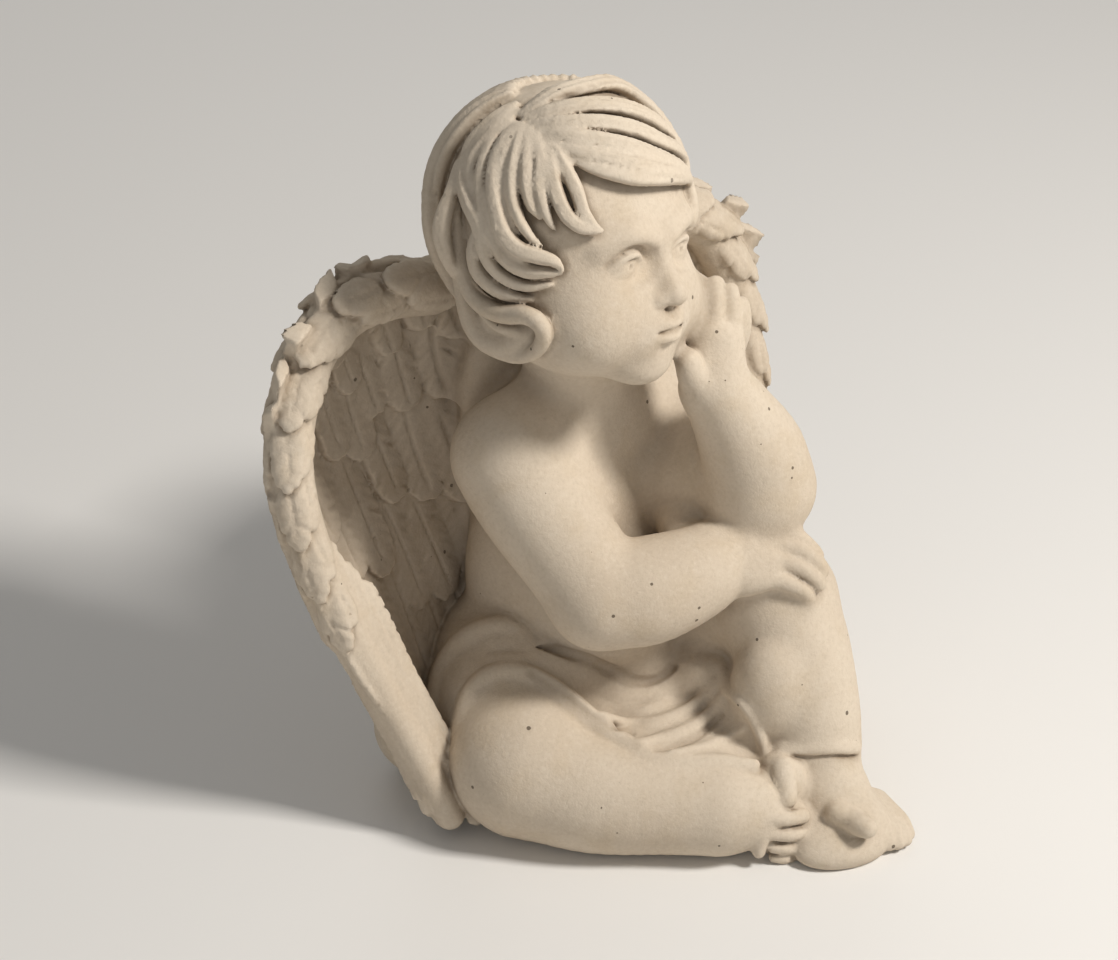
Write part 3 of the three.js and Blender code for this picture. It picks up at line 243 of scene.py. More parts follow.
def surface_nets(D, lo, h):
    ins = D < 0
    nx, ny, nz = D.shape
    cnt = np.zeros((nx - 1, ny - 1, nz - 1), np.int8)
    for a in (0, 1):
        for b in (0, 1):
            for c in (0, 1):
                cnt += ins[a:nx - 1 + a, b:ny - 1 + b, c:nz - 1 + c]
    cell = (cnt > 0) & (cnt < 8)
    ci = np.argwhere(cell)
    idx = np.full(cell.shape, -1, np.int32); idx[cell] = np.arange(len(ci), dtype=np.int32)
    acc = np.zeros((len(ci), 3)); num = np.zeros(len(ci))
    corners = [(a, b, c) for a in (0, 1) for b in (0, 1) for c in (0, 1)]
    vals = {o: D[ci[:, 0] + o[0], ci[:, 1] + o[1], ci[:, 2] + o[2]].astype(float) for o in corners}
    for o in corners:
        for ax in range(3):
            if o[ax] == 0:
                o2 = list(o); o2[ax] = 1; a, b = vals[o], vals[tuple(o2)]
                m = (a < 0) != (b < 0); t = np.where(m, a / np.where(m, a - b, 1), 0)
                for j in range(3):
                    acc[:, j] += np.where(m, o[j] + (t if j == ax else 0), 0)
                num += m
    V = np.array(lo) + (ci + acc / num[:, None]) * h
    F = []
    for ax in range(3):
        s0 = [slice(None)] * 3; s1 = [slice(None)] * 3; s0[ax] = slice(0, -1); s1[ax] = slice(1, None)
        e = np.argwhere(ins[tuple(s0)] != ins[tuple(s1)])
        o1, o2 = [j for j in range(3) if j != ax]
        e = e[(e[:, o1] > 0) & (e[:, o2] > 0) & (e[:, o1] < D.shape[o1] - 1) & (e[:, o2] < D.shape[o2] - 1)]
        inside = ins[e[:, 0], e[:, 1], e[:, 2]]
        q = []
        for d1, d2 in ((-1, -1), (0, -1), (0, 0), (-1, 0)):
            ee = e.copy(); ee[:, o1] += d1; ee[:, o2] += d2; q.append(idx[ee[:, 0], ee[:, 1], ee[:, 2]])
        q = np.stack(q, 1)
        flip = inside if ax != 1 else ~inside
        F.append(np.where(flip[:, None], q, q[:, ::-1]))
    return V, np.vstack(F)


def keep_largest(n, Q):
    """which vertices belong to the one big skin, by joining labels along edges"""
    lab = np.arange(n)
    a = np.concatenate([Q[:, 0], Q[:, 1]]); b = np.concatenate([Q[:, 2], Q[:, 3]])
    a = np.concatenate([a, Q[:, 0]]); b = np.concatenate([b, Q[:, 1]])
    for _ in range(60):
        la, lb = lab[a], lab[b]
        hi, lo_ = np.maximum(la, lb), np.minimum(la, lb)
        m = hi != lo_
        if not m.any():
            break
        np.minimum.at(lab, hi[m], lo_[m])
        while True:
            nl = lab[lab]
            if (nl == lab).all():
                break
            lab = nl
    big = np.bincount(lab).argmax()
    return lab == big


# ---------------------------------------------------------------- body
def body():
    # ---- torso ----
    add(Ell([0,30,46],[57,46,49],12))
    add(Ell([-2,36,40],[63,46,46],12))
    add(Ell([-4,2,104],[47,44,46],22,[0,0,8]))
    add(Ell([-5,16,118],[50,42,50],20,[0,0,10]))
    add(Ell([-12,16,170],[50,36,42],22,[0,0,13]))
    add(Ell([-40,34,110],[30,28,58],20))
    add(Ell([-34,-8,168],[24,18,20],18,[0,0,13]))
    add(Ell([18,2,166],[24,18,20],18,[0,0,13]))
    add(Tube([[-56,6,198,26],[-30,14,208,25],[-8,18,211,25],[18,22,204,25],[42,27,192,25]],20))
    add(Tube([[-10,18,205,29],[-16,14,232,27],[-22,8,262,30]],14))
    # ---- right arm ----
    add(Tube([[-60,4,199,29,20],[-55,-12,180,30,16],[-46,-33,158,28,8],[-37,-50,138,27,5]],12,5))
    add(Tube([[-37,-50,138,27,6],[-16,-58,139,28,4],[8,-62,143.5,24.5,3],[26,-62,148,20,4]],6,5))
    # right hand
    add(Tube([[24,-60,149,18.5,5],[36,-62,153.5,15,5],[47,-64,157,11.5,4]],7,3,0.85,None,[-0.41,-0.76,0.5]))
    add(Tube([[26,-61,143,15,5],[38,-69,145,14.5,5],[46,-74,146,12,4]],7,3))
    add(Tube([[38.8,-65.3,159.5,9.5,5],[52.8,-69.3,162,6.2,1.4],[62.8,-76.3,158.5,4.8,0.6],[68.8,-81.3,152.5,4.4,0.6],[71.3,-83.3,149,3.8,0.6]],2,4))
    add(Tube([[39.8,-69.3,154.5,9.5,5],[53.8,-74.8,156,6.4,1.4],[63.8,-82.8,152.5,4.9,0.6],[69.8,-87.3,146,4.5,0.6],[71.3,-88.8,142.5,4,0.6]],2,4))
    add(Tube([[38.8,-73.3,148.5,9.5,5],[51.8,-79.3,149.5,6.4,1.4],[60.8,-86.8,145.5,4.9,0.6],[66.3,-90.8,140,4.4,0.6],[67.8,-91.8,137,3.9,0.6]],2,4))
    add(Tube([[35.8,-76.3,142.5,9.5,5],[46.3,-82.3,142,6.2,1.4],[54.3,-88.3,138.5,4.7,0.6],[59.3,-91.3,135,4.3,0.6],[61.3,-91.8,132.5,3.8,0.6]],2,4))
    add(Tube([[30,-54,153,9,5],[42,-51,158,7,3],[53,-53,156,5,1.5],[59,-57,150,4,1.5]],3,4))
    # ---- left arm ----
    add(Tube([[42,28,190,27,18],[48,4,186,27,10],[53,-26,182,28,6],[55,-50,178,28,5]],10,5))
    add(Ell([34,-16,172],[24,26,22],14))
    add(Tube([[55,-51,178,28,8],[51,-51,198,27,6],[41,-48,220,22,6],[30,-46,240,18,5]],8,5))
    # left hand
    add(Tube([[30,-45,239,16.5,5],[30,-45,252,15,5],[32,-43,264,12.5,5]],6,3,0.8,None,[-0.41,-0.76,0.3]))
    add(Tube([[23,-43,256,8,5],[26,-37,270,5.8,1.5],[30,-31,282,4.8,0.6],[32,-27,288,4.2,0.6]],3,4))
    add(Tube([[28,-46,255,8,5],[32,-41,270,5.8,1.5],[36,-36,283,4.8,0.6],[37.5,-32,290,4.2,0.6]],3,4))
    add(Tube([[32,-47.5,253,8,5],[38,-44.5,266,5.8,1.5],[42,-40,279,4.9,0.6],[43,-36.5,287,4.2,0.6]],3,4))
    add(Tube([[35,-47,249,8,5],[42.5,-45,260,5.8,1.4],[47.5,-41.5,271,4.8,0.6],[48.5,-38.5,279,4.1,0.6]],2,4))
    add(Tube([[20,-48,244,9,6],[15,-49,252,8,3],[13,-48,259,7,1.5]],3,4))
    # ---- right leg (folded on the ground) ----
    add(Tube([[-38,26,54,40,14],[-58,0,47,40,12],[-74,-32,41,39,12]],14,5))
    add(Tube([[-72,-40,37,38,12],[-48,-66,30,33,8],[-18,-88,27,28,5],[4,-103,26,26,5]],12,5))
    add(Tube([[6,-104,26,24,5],[17,-112,26,21,5],[25,-115,26,17,5]],4))
    # rim of the cuff of flesh at the right ankle
    add(Tube([[10,-94,46,3.5],[13,-109,45,3.5],[17,-121,36,3.5],[17,-128,24,3.5],[14,-129,10,3.5]],3,4))
    # right foot
    add(Ell([38,-110,34],[14.5,13,19],4,[0,0,-28]))
    add(Ell([35,-116,14],[15,13,15.5],4,[0,0,-28]))
    add(Ell([32,-122,15],[17,8.5,17],2.5,[0,0,-16]))
    # ---- left leg ----
    add(Tube([[36,24,58,38,14],[50,-12,84,36,10],[60,-50,108,32,8],[62,-62,114,30,8]],14,5))
    add(Tube([[62,-63,114,30,8],[63,-76,90,31,6],[65,-90,62,28,6],[67,-98,42,24,4]],8,5))
    add(Ell([47,-87,79],[24,22,32],3.5))
    add(Ell([19,-34,156],[12,11,12],8))
    add(Ell([4,-26,70],[20,15,16],8))
    # left foot
    add(Tube([[64,-92,24,24,5],[66,-110,22,22,6],[68,-124,18,18,6],[72,-134,14,15,6]],6,4))
    add(Ell([60,-134,8],[28,18,13],8,[0,0,-20]))
    add(Ell([56,-142,6],[24,13,9],6,[0,0,-12]))
    add(Tube([[60,-126,22,10,4],[62,-133,19.5,10,3],[64.5,-139,16.5,9.6,1.5],[67,-142.5,14.5,8,1]],2.4,4))
    add(Tube([[80.5,-123.7,15,8,4],[80.4,-139.6,13,6,1.4],[80.2,-146.8,10,5,0.6],[80.9,-149.9,6,4.4,0.6]],1,4))
    add(Tube([[84.9,-122.9,13,7.5,4],[86.7,-138.6,11.5,5.6,1.4],[86.1,-146.4,9,4.8,0.6],[85.8,-151,5.6,4.2,0.6]],1,4))
    add(Tube([[88.5,-123.3,12,7,4],[91.6,-138,10,5.2,1.4],[91.1,-145.6,8,4.5,0.6],[90.8,-150.1,5.2,4,0.6]],1,4))
    add(Tube([[92,-122,10,6.5,4],[94.7,-138.1,9,4.8,1.4],[94.7,-144,7,4.2,0.6],[94.8,-146.9,5,3.8,0.6]],1,4))

    # big toe and ankle fold of the left foot
    add(Tube([[57,-136.3,25.3,6.4],[60.5,-142.5,23.1,6.6],[62,-149.7,24,6.2],[63.5,-153.9,24.3,5.6]],2.2,4))
    add(Tube([[41.9,-105.5,52.4,3],[48,-111.4,52.7,3.4],[63,-118.8,53,3.4],[78.4,-117.5,47.1,3.4]],3.5,4))
    add(Tube([[37,-112.5,52.6,0.8],[46.6,-114,49.7,1.1],[62,-120.6,49.7,1.1],[77,-119.9,44,1]],1.4,4,None,None,None,True))
    # toes of the right foot
    add(Tube([[36,-114.4,46.6,6.8],[34.1,-118.8,43.6,6.6],[33.3,-122.3,39.7,6],[31.7,-126.2,36.4,5.4]],0.7,4))
    add(Tube([[18.7,-129,30.6,4],[27.8,-131.5,28.5,4.4],[39.2,-130.5,25.2,4]],0.7,3))
    add(Tube([[20.9,-130,20.3,3.9],[29.8,-132.5,18.2,4.2],[40.9,-131.5,15,3.8]],0.7,3))
    add(Tube([[21.9,-130,11,3.4],[29.3,-132.5,9.4,3.7],[38.9,-131.5,6.6,3.3]],0.7,3))
    add(Tube([[23.1,-129.5,3.7,2.9],[28.6,-132,2.8,3.2],[36.4,-131,0.7,2.9]],0.7,3))


def cloth():
    # cloth over the right hip and thigh
    add(Tube([[-50,30,52,46,10],[-60,6,47,45,10],[-62,-4,46,44,8]],8,4))
    add(Ell([-88,30,30],[40,34,32],16))
    add(Ell([4,-54,38],[50,48,24],12))
    add(Tube([[26,-44,70,14],[32,-66,64,13],[36,-86,48,12]],10,4))
    # hem over the thigh and along the shin
    add(Tube([[-101,-20,30,4.5],[-101,-18,58,4.8],[-95,-14,73,5],[-85,-14,82,5],[-73,-20,86,5],[-63,-31,84,5],[-54,-43,78,5],[-46,-55,70,4.6],[-36,-69,62,4],[-24,-86,56,3.5],[-9,-95,54,3.2],[6,-101,53,3.2],[22,-109,50,3]],4,4))
    # waist roll
    add(Tube([[-78,36,70,8],[-80,22,82,8],[-66,8,90,8],[-48,-8,86,7],[-34,-22,78,6],[-16,-32,66,6],[6,-38,62,6],[24,-44,70,6]],8,4))
    # folds of the cloth
    add(Tube([[-107.5,7.7,52.1,4.5],[-104.1,10.7,58.8,5],[-95.4,19.4,70,5.4],[-85.9,17.7,83.9,5.6],[-76,12.4,92.8,5.6],[-65.1,4.8,96.3,5.4],[-58.1,-4.6,93.9,4.6]],3,4))
    add(Tube([[-72,-0.4,88.2,5],[-62.5,-8.5,87.5,7],[-53.1,-18.8,83,8.5],[-40.2,-24.7,75.5,9],[-26.5,-28.4,65.2,9],[-13.9,-35.3,59,9],[-1.2,-41.8,59.4,8.5],[12.8,-45,65.2,8],[21.2,-53.2,75,6.5],[28.4,-57.4,77.8,5]],5,4))
    add(Tube([[-77.8,-7.2,86.4,3],[-69,-15.4,88.5,3.4],[-60.6,-20.6,86.4,3.6],[-49.4,-30.9,78.9,3.6],[-35.1,-35.4,64.4,3.6],[-22.5,-39.9,56.8,3.6],[-10.9,-52.5,60,3.4],[7.3,-50.5,61.3,3],[16.5,-55.2,71.3,2.6]],3,4))
    add(Tube([[-29,-78.3,61.3,2.4],[-15.7,-76,58.1,3.2],[-3.8,-76.2,58.2,3.6],[9.6,-73.8,58.7,3.6],[20.1,-72.3,63.9,3.2],[24.8,-75.1,72.9,2.4]],2.4,4))
    add(Tube([[-16.3,-89.6,57.9,2],[1.6,-89.8,55.3,2.8],[18.5,-86.8,54.2,2.8],[26.9,-91.7,60.8,2]],2,4))
    add(Tube([[-39.6,-58.8,69.8,2.4],[-23.8,-56.2,58.2,3.2],[-11.6,-63.5,59.3,3.4],[4.6,-63.6,60.5,3.4],[18,-63.3,65.5,3],[24.3,-66.7,74.4,2.2]],2.6,4))
    add(Tube([[28.9,-60.7,79.5,2.6],[25.5,-73.8,75.7,3],[23.4,-88.3,78.1,3],[25.5,-95.1,74.6,3],[30.2,-97.9,63.5,3],[33.1,-101.1,49.4,2.6]],2,4))
    add(Tube([[-24.3,-85.7,60,1.3],[-11.7,-84.6,57.7,1.9],[3.4,-82.3,57.7,2],[14.4,-78,58.4,1.7],[20.3,-78.1,62.9,1.2]],1.6,4,None,None,None,True))
    add(Tube([[-67.9,-30.2,88.7,1.2],[-61.9,-38.8,85,1.5],[-55.8,-47.3,80,1.6],[-47.6,-58.3,72.8,1.6],[-39,-66.4,68,1.4],[-28,-66,59.8,1]],3.5,4,None,None,None,True))
    add(Tube([[-58.1,-13.7,90.4,1.6],[-45.4,-21,89.4,2.2],[-33.7,-29.2,86.8,2.4],[-20.6,-32.9,76.7,2.4],[-11.6,-38.4,70.9,2.2],[0.3,-42.1,69.9,1.6],[10.9,-43.7,75.1,1.2]],3,4,None,None,None,True))


# ---------------------------------------------------------------- head
def head_frame():
    y, p, r = [math.radians(v) for v in (HEAD_TURN, HEAD_LIFT, HEAD_TILT)]
    f0 = np.array([math.sin(y), -math.cos(y), 0]); l0 = np.array([math.cos(y), math.sin(y), 0]); up = np.array([0, 0, 1.0])
    f = math.cos(p) * f0 + math.sin(p) * up; u = math.cos(p) * up - math.sin(p) * f0
    return np.stack([math.cos(r) * l0 - math.sin(r) * u, f, math.cos(r) * u + math.sin(r) * l0], 1)


HM = head_frame()


def hw(q):
    return HEAD + HM @ np.asarray(q, float)


def HE(c, r, k, q=None, sub=False):
    return Ell(hw(c), r, k, HM if q is None else HM @ rotm(q), sub)


def HT(rows, k, n=4, sub=False):
    return Tube([list(hw(r[:3])) + list(r[3:]) for r in rows], k, n, None, None, None, sub)


def face():
    # skull, cheeks, jaw and chin (head frame: left, forward, up)
    add(HE([0,-5,12],[57,58.5,61.5],8))
    add(HE([0,16,8],[50,36,42],10))
    add(HE([0,10,-28],[50,50,42],14))
    add(HE([-26,31,-33],[24,23.5,24],14))
    add(HE([26,31,-33],[24,23.5,24],14))
    add(HE([0,44,-57],[17,14,12.5],11))
    add(HE([0,49,-38],[19,13,14],10))
    # brows and sockets
    add(HT([[-34,42,7,4],[-22,51.5,11.5,4.5],[-9,54,7.5,4]],9,4))
    add(HT([[34,42,7,4],[22,51.5,11.5,4.5],[9,54,7.5,4]],9,4))
    add(HE([-21.5,56.5,-3.5],[14,7.2,8.4],6,None,True))
    add(HE([21.5,56.5,-3.5],[14,7.2,8.4],6,None,True))
    # eyes: ball, lids, iris and pupil
    add(HE([-21.5,39.8,-5],[13.5,12.4,11.5],0.8))
    add(HE([21.5,39.8,-5],[13.5,12.4,11.5],0.8))
    add(HT([[-33.5,42.5,-7.5,1.2],[-28.5,49.3,-1,1.8],[-21.5,52.3,2,2],[-14.5,51.2,-0.4,1.8],[-9.6,49.4,-7,1.2]],1,5))
    add(HT([[33.5,42.5,-7.5,1.2],[28.5,49.3,-1,1.8],[21.5,52.3,2,2],[14.5,51.2,-0.4,1.8],[9.6,49.4,-7,1.2]],1,5))
    add(HT([[-33.5,42.5,-7.5,1.1],[-27.5,48.3,-11.3,1.6],[-20.5,50.4,-13,1.7],[-14,49.8,-10.6,1.5],[-9.6,49.4,-7,1.1]],1.2,5))
    add(HT([[33.5,42.5,-7.5,1.1],[27.5,48.3,-11.3,1.6],[20.5,50.4,-13,1.7],[14,49.8,-10.6,1.5],[9.6,49.4,-7,1.1]],1.2,5))
    add(HT([[-34,44.5,-3,0.5],[-28.5,51,3.2,0.9],[-21.5,53.6,6,1],[-14.5,52.8,3.2,0.9],[-9.5,51.5,-2,0.5]],1.6,5,True))
    add(HT([[34,44.5,-3,0.5],[28.5,51,3.2,0.9],[21.5,53.6,6,1],[14.5,52.8,3.2,0.9],[9.5,51.5,-2,0.5]],1.6,5,True))
    add(HT([[-25.6,52,-4.5,0.6],[-24.3,52.1,-1.6,0.6],[-21.5,52.4,-0.4,0.6],[-18.7,52.1,-1.6,0.6],[-17.4,51.9,-4.5,0.6],[-18.7,51.8,-7.4,0.6],[-21.5,51.8,-8.6,0.6],[-24.3,51.8,-7.4,0.6],[-25.6,52,-4.5,0.6]],0.5,3,True))
    add(HT([[25.6,52,-4.5,0.6],[24.3,52.1,-1.6,0.6],[21.5,52.4,-0.4,0.6],[18.7,52.1,-1.6,0.6],[17.4,51.9,-4.5,0.6],[18.7,51.8,-7.4,0.6],[21.5,51.8,-8.6,0.6],[24.3,51.8,-7.4,0.6],[25.6,52,-4.5,0.6]],0.5,3,True))
    add(HE([-21.5,52.4,-4.3],[1.7,1.8,1.7],0.5,None,True))
    add(HE([21.5,52.4,-4.3],[1.7,1.8,1.7],0.5,None,True))
    # nose
    add(HT([[0,52.5,6,4],[0,54.8,-4,4.2],[0,59,-12,4.7],[0,62.5,-18.5,5.4]],6,4))
    add(HE([0,63.5,-20.5],[6.4,5.8,5.3],3.5))
    add(HE([-6.8,58.8,-22.4],[4.4,5.2,4.1],2.4))
    add(HE([6.8,58.8,-22.4],[4.4,5.2,4.1],2.4))
    add(HE([-3.7,62.3,-26.6],[2,2.8,1.7],0.8,None,True))
    add(HE([3.7,62.3,-26.6],[2,2.8,1.7],0.8,None,True))
    # mouth
    add(HT([[0,64.4,-27.5,1.1],[0,64,-32.5,1.4]],2.2,3,True))
    add(HT([[-13.6,56,-37.4,0.9],[-9,60,-35.6,2],[-4.2,62.6,-34.4,2.5],[0,63,-35.2,2.2],[4.2,62.6,-34.4,2.5],[9,60,-35.6,2],[13.6,56,-37.4,0.9]],1.8,5))
    add(HT([[-11.5,57.6,-39.6,1],[-6,60.8,-41.6,2.6],[0,62.2,-42.4,3],[6,60.8,-41.6,2.6],[11.5,57.6,-39.6,1]],1.8,5))
    add(HT([[-14.6,56.6,-38,0.9],[-8,61.4,-38.2,0.9],[0,64.6,-38.4,1],[8,61.4,-38.2,0.9],[14.6,56.6,-38,0.9]],0.9,5,True))
    add(HE([-15.6,56,-38],[2.2,2.6,2.4],2.5,None,True))
    add(HE([15.6,56,-38],[2.2,2.6,2.4],2.5,None,True))
    add(HE([0,63,-48.5],[9,3.6,2.8],4,None,True))


def lock(rows, strands, ph, ratio=0.62):
    """a lock of hair along longitude and latitude over the skull, cut into strands"""
    D = np.array([[math.sin(math.radians(a)) * math.cos(math.radians(b)), math.cos(math.radians(a)) * math.cos(math.radians(b)), math.sin(math.radians(b)), h, w] for a, b, h, w in rows])
    line = []
    for s in catmull(D, 4):
        d = s[:3] / np.linalg.norm(s[:3])
        line.append(list(hw(HAIR_C + d * (HAIR_R + s[3] - 0.9))) + [max(s[4], 1.0)])
    add(Tube(line, 1.3, 1, ratio, hw(HAIR_C), None, False, (GROOVE[strands], strands, ph * 1.3)))


GROOVE = {1: 0.5, 2: 1.1, 3: 1.4, 4: 1.4}


def hair():
    # locks: [longitude, latitude, height, half width] over the skull strands, phase, thickness ratio
    # right side, fanning from the parting
    lock([[-64.2,43.8,0,2.6],[-54.9,31.6,2,3.7],[-48.7,20.4,3.2,4],[-46,12,4.4,3.7],[-42.4,6.7,5.2,2.9],[-38.2,4,5.6,1.1]],2,0,0.85)
    lock([[-66.1,42.6,0,2.6],[-60.9,29.5,2,4],[-57.9,19.3,3.2,4.4],[-53.5,10.6,4.6,4.2],[-47.5,5.5,5.6,3.5],[-41.1,4.1,6,2.2],[-38.3,3.9,5.8,1]],2,1,0.85)
    lock([[-73.5,46,0,2.6],[-66.8,32,2,3.7],[-65.8,21.6,3,3.7],[-63.4,13.7,3.6,3.1],[-60.4,7.2,3.8,2.2],[-58,3.9,3.6,1]],2,2,0.85)
    lock([[-78.7,47.3,0,2.6],[-74.2,31.4,2.2,3.7],[-72,21.1,3,3.7],[-69,13.3,3.4,2.9],[-64.8,8.2,3.2,1.1]],2,3,0.85)
    lock([[-84.5,48.5,0,2.6],[-81.9,35.6,2,3.5],[-80.2,23.9,3,3.6],[-77.4,14.2,3.6,3.5],[-72.7,5.8,4,3.1],[-67.7,-0.1,4,2.4],[-63.9,-2.6,3.6,1.1]],2,4,0.85)
    lock([[-88.1,48.7,0,2.6],[-88.4,34.8,2,3.3],[-86.4,24.2,2.6,2.9],[-83.1,15.3,2.6,2.6],[-78.8,6.7,2.6,2.4],[-74,0.8,2.4,1.2]],2,5,0.85)
    lock([[-92,48.8,0,2.6],[-92.3,34.2,2.2,3.5],[-89.5,21.7,3.4,4],[-84.3,9.7,4.6,4.4],[-79.9,0.6,5.4,4.8],[-72.8,-5.1,6,4.8],[-64.4,-7,6.2,4.2],[-58,-8.6,6,3.1],[-54.5,-12.6,5.2,1.4]],2,6,0.85)
    lock([[-100.2,48.9,0,2.6],[-99.7,34.2,1.8,3.5],[-97.5,22.4,2.8,3.7],[-91.8,10.3,3.6,4],[-86.3,-0.5,4.2,4.4],[-79.3,-9.6,4.8,4.6],[-70.5,-13.8,5,4.2],[-61.9,-14.1,4.8,3.3],[-55.2,-14.3,4.4,1.4]],2,7,0.85)
    lock([[-105.9,48,0,2.6],[-107.1,34,1.6,3.3],[-105.2,23,2.4,3.5],[-98.7,15.6,2.4,3.1],[-95.2,9.7,2,2]],2,8,0.85)
    lock([[-112.9,47.4,0,2.6],[-112.1,32.2,1.2,3.3],[-109.1,19.3,2.6,4],[-100.2,10.6,4.2,4.6],[-92.1,2.3,5,4.6],[-89.7,-7.4,5,4.4],[-86.2,-14.6,5,4],[-79.4,-19.7,4.8,3.7],[-70.2,-21.9,4.6,3.3],[-60.1,-20.1,4.2,2]],2,9,0.85)
    lock([[-95.4,-1.4,3,2.6],[-96,-9.6,5,4],[-94.1,-17.8,5.8,4.6],[-87.4,-23.6,6.2,4.4],[-79,-26.7,6,3.7],[-69.7,-28.1,5.2,1.8]],2,10,0.85)
    lock([[-117.1,23.8,1.5,3],[-111.6,12.9,4.5,4.2],[-110.9,3.2,8.5,4.8],[-110.9,-3.6,10,5.1],[-110.1,-11.4,9.5,4.6],[-109.5,-19.4,8,3.5],[-110.7,-24.2,7,1.6]],2,13,0.95)
    lock([[-118.8,34.4,0.5,3],[-113.6,22.6,1,3.7],[-113.5,10.8,1.5,4.4],[-113,-1.5,2,5.1],[-112.6,-13.2,2.5,5.5],[-115.6,-26.5,3,5]],2,14,0.7)
    lock([[-106,59,0.3,3],[-107.8,50.3,1.5,5.1],[-112.1,40.6,2,5.5],[-114.2,32.4,2.2,5.1],[-112.5,24.6,2,3.6]],2,27,0.6)
    lock([[-98.6,55.6,0.3,3],[-100.7,46.7,1.2,4.8],[-104.7,37.7,1.6,5.3],[-107.6,29.6,2,4.6],[-108.6,23.4,2,3]],2,28,0.6)
    # the big curl over the right ear
    add(HE([-38,-6,-36],[13,20,21],8))
    add(HT([[-51,-30.6,22.2,3.4],[-53,-28.8,9.6,4.4],[-54.5,-26.1,-2.9,4.9],[-55.5,-21.7,-16.4,5],[-56,-15.7,-24.1,5],[-57,-6.1,-28.2,5],[-57.5,5.1,-28.7,4.9],[-58,16.1,-26.7,4.7],[-57,23.7,-29.1,4.5],[-54.5,25.2,-36,4.2],[-51,18.7,-45.2,3.8],[-48,6.5,-52,3.6],[-47,-5.1,-53.2,3.4],[-47,-14,-50.7,3]],1.2,4))
    add(HT([[-47,-30.3,-19.9,5],[-46.5,-27.1,-31.9,6],[-46,-23.2,-41.4,6.4],[-46,-15.5,-47.9,6.6],[-46.5,-4.2,-48.3,6.6],[-47,5.6,-44,6.2],[-48,12.9,-38.3,5]],2,4))
    add(HT([[-50,-15.4,-33.3,2.4],[-51,-5.1,-37.8,3.2],[-51,5.8,-37.9,3.4],[-50,13.1,-40.1,2.6]],1.2,4))
    # crown, swept over the brow from the parting to the left temple
    lock([[-91.3,54.9,0.3,3],[-70.3,67.4,2.4,5.5],[-8.4,75.2,3,6],[56.4,61.3,3,6],[47.8,49.3,3,5.6],[42.4,36.5,2.8,5],[38.7,24.9,2.4,4],[36.1,15.5,2,2.6]],3,15,0.6)
    lock([[-85.4,53.3,0.3,3],[-61.2,59.1,2.2,5],[-24.7,61,3,5.6],[6.3,53.8,3.2,5.6],[25.7,41.2,3.2,5],[39.4,26.8,3,4.4],[36.4,16.4,2.4,2.8]],3,16,0.6)
    lock([[-78.1,50.7,0.3,3],[-55.9,51.6,2.4,4.6],[-29.6,50.3,3.2,5.2],[-7.1,44.5,3.6,5.4],[11.5,35.1,3.6,5],[38,21.6,3.2,4],[35.7,13.8,2.4,2.4]],3,17,0.65)
    lock([[-70.9,47.2,0.3,2.6],[-53.3,44.9,2.4,4.4],[-34.6,41.7,3.6,5],[-15.8,36.2,4.4,5.2],[1.2,29.2,4.4,4.8],[22.5,20.2,3.8,3.6],[35.4,12.6,2.6,2]],3,18,0.7)
    lock([[-63.7,42.8,0.3,2.4],[-49.1,37.9,2.2,4],[-35.6,34.1,4,4.8],[-19.7,29.2,5.4,5.4],[-3.2,24.4,5.4,5],[20.5,17.7,4.4,3.6],[35.2,11.7,3,2]],3,19,0.75)
    lock([[-54.2,35.9,0.3,1.6],[-43.6,31.1,2.4,3],[-33,27.4,4.2,4],[-20.4,23.8,5.4,4.2],[-4.4,21.2,5,3.6],[18,16.7,3.8,2.6]],2,20,0.8)
    # curls at the left temple and ear
    lock([[35.9,13.6,2,3],[34.3,7.1,3,3.6],[32.7,1.1,3.8,3.6],[31.5,-3,4,2.8],[30.7,-5.8,3.6,1.2]],1,21,0.85)
    lock([[35.5,12.7,1.5,3],[33.9,6.2,2.5,3.4],[32.4,0.5,3,3],[31.1,-4.6,3,1.6]],1,22,0.85)
    lock([[50,18,2,5],[60,4,4,6.5],[63,-10,5,6.5],[57,-20,6,5.5],[49,-22,6,3]],2,23,0.8)
    lock([[64,24,2,6],[74,6,4,7.5],[77,-14,5,7.5],[71,-30,6,6.5],[60,-36,6,5],[54,-30,6,3]],3,24,0.75)
    lock([[80,30,2,8],[90,8,4,8.5],[94,-14,5,8.5],[92,-34,5,8],[80,-48,5,6],[68,-48,5,3.5]],3,25,0.7)
    lock([[60,58,0.5,6],[84,40,2.5,7],[98,16,3.5,7.5],[104,-10,4.5,8],[106,-34,5,7.5],[98,-50,5,5]],3,26,0.7)
    for i in range(9):
        lon = -142 - 13 * i; j = i % 2; low = -44 - 6 * j
        lock([[lon + 4, 62, 0.5, 6], [lon, 40, 2, 8.5], [lon - 2 + 4 * j, 15, 3 + j, 9.5], [lon + 2, -10, 4 + j, 9.5], [lon - 3 + 5 * j, -32, 5 + j, 8.5], [lon + 4 - 7 * j, low, 6, 6]], 3, 20 + i)


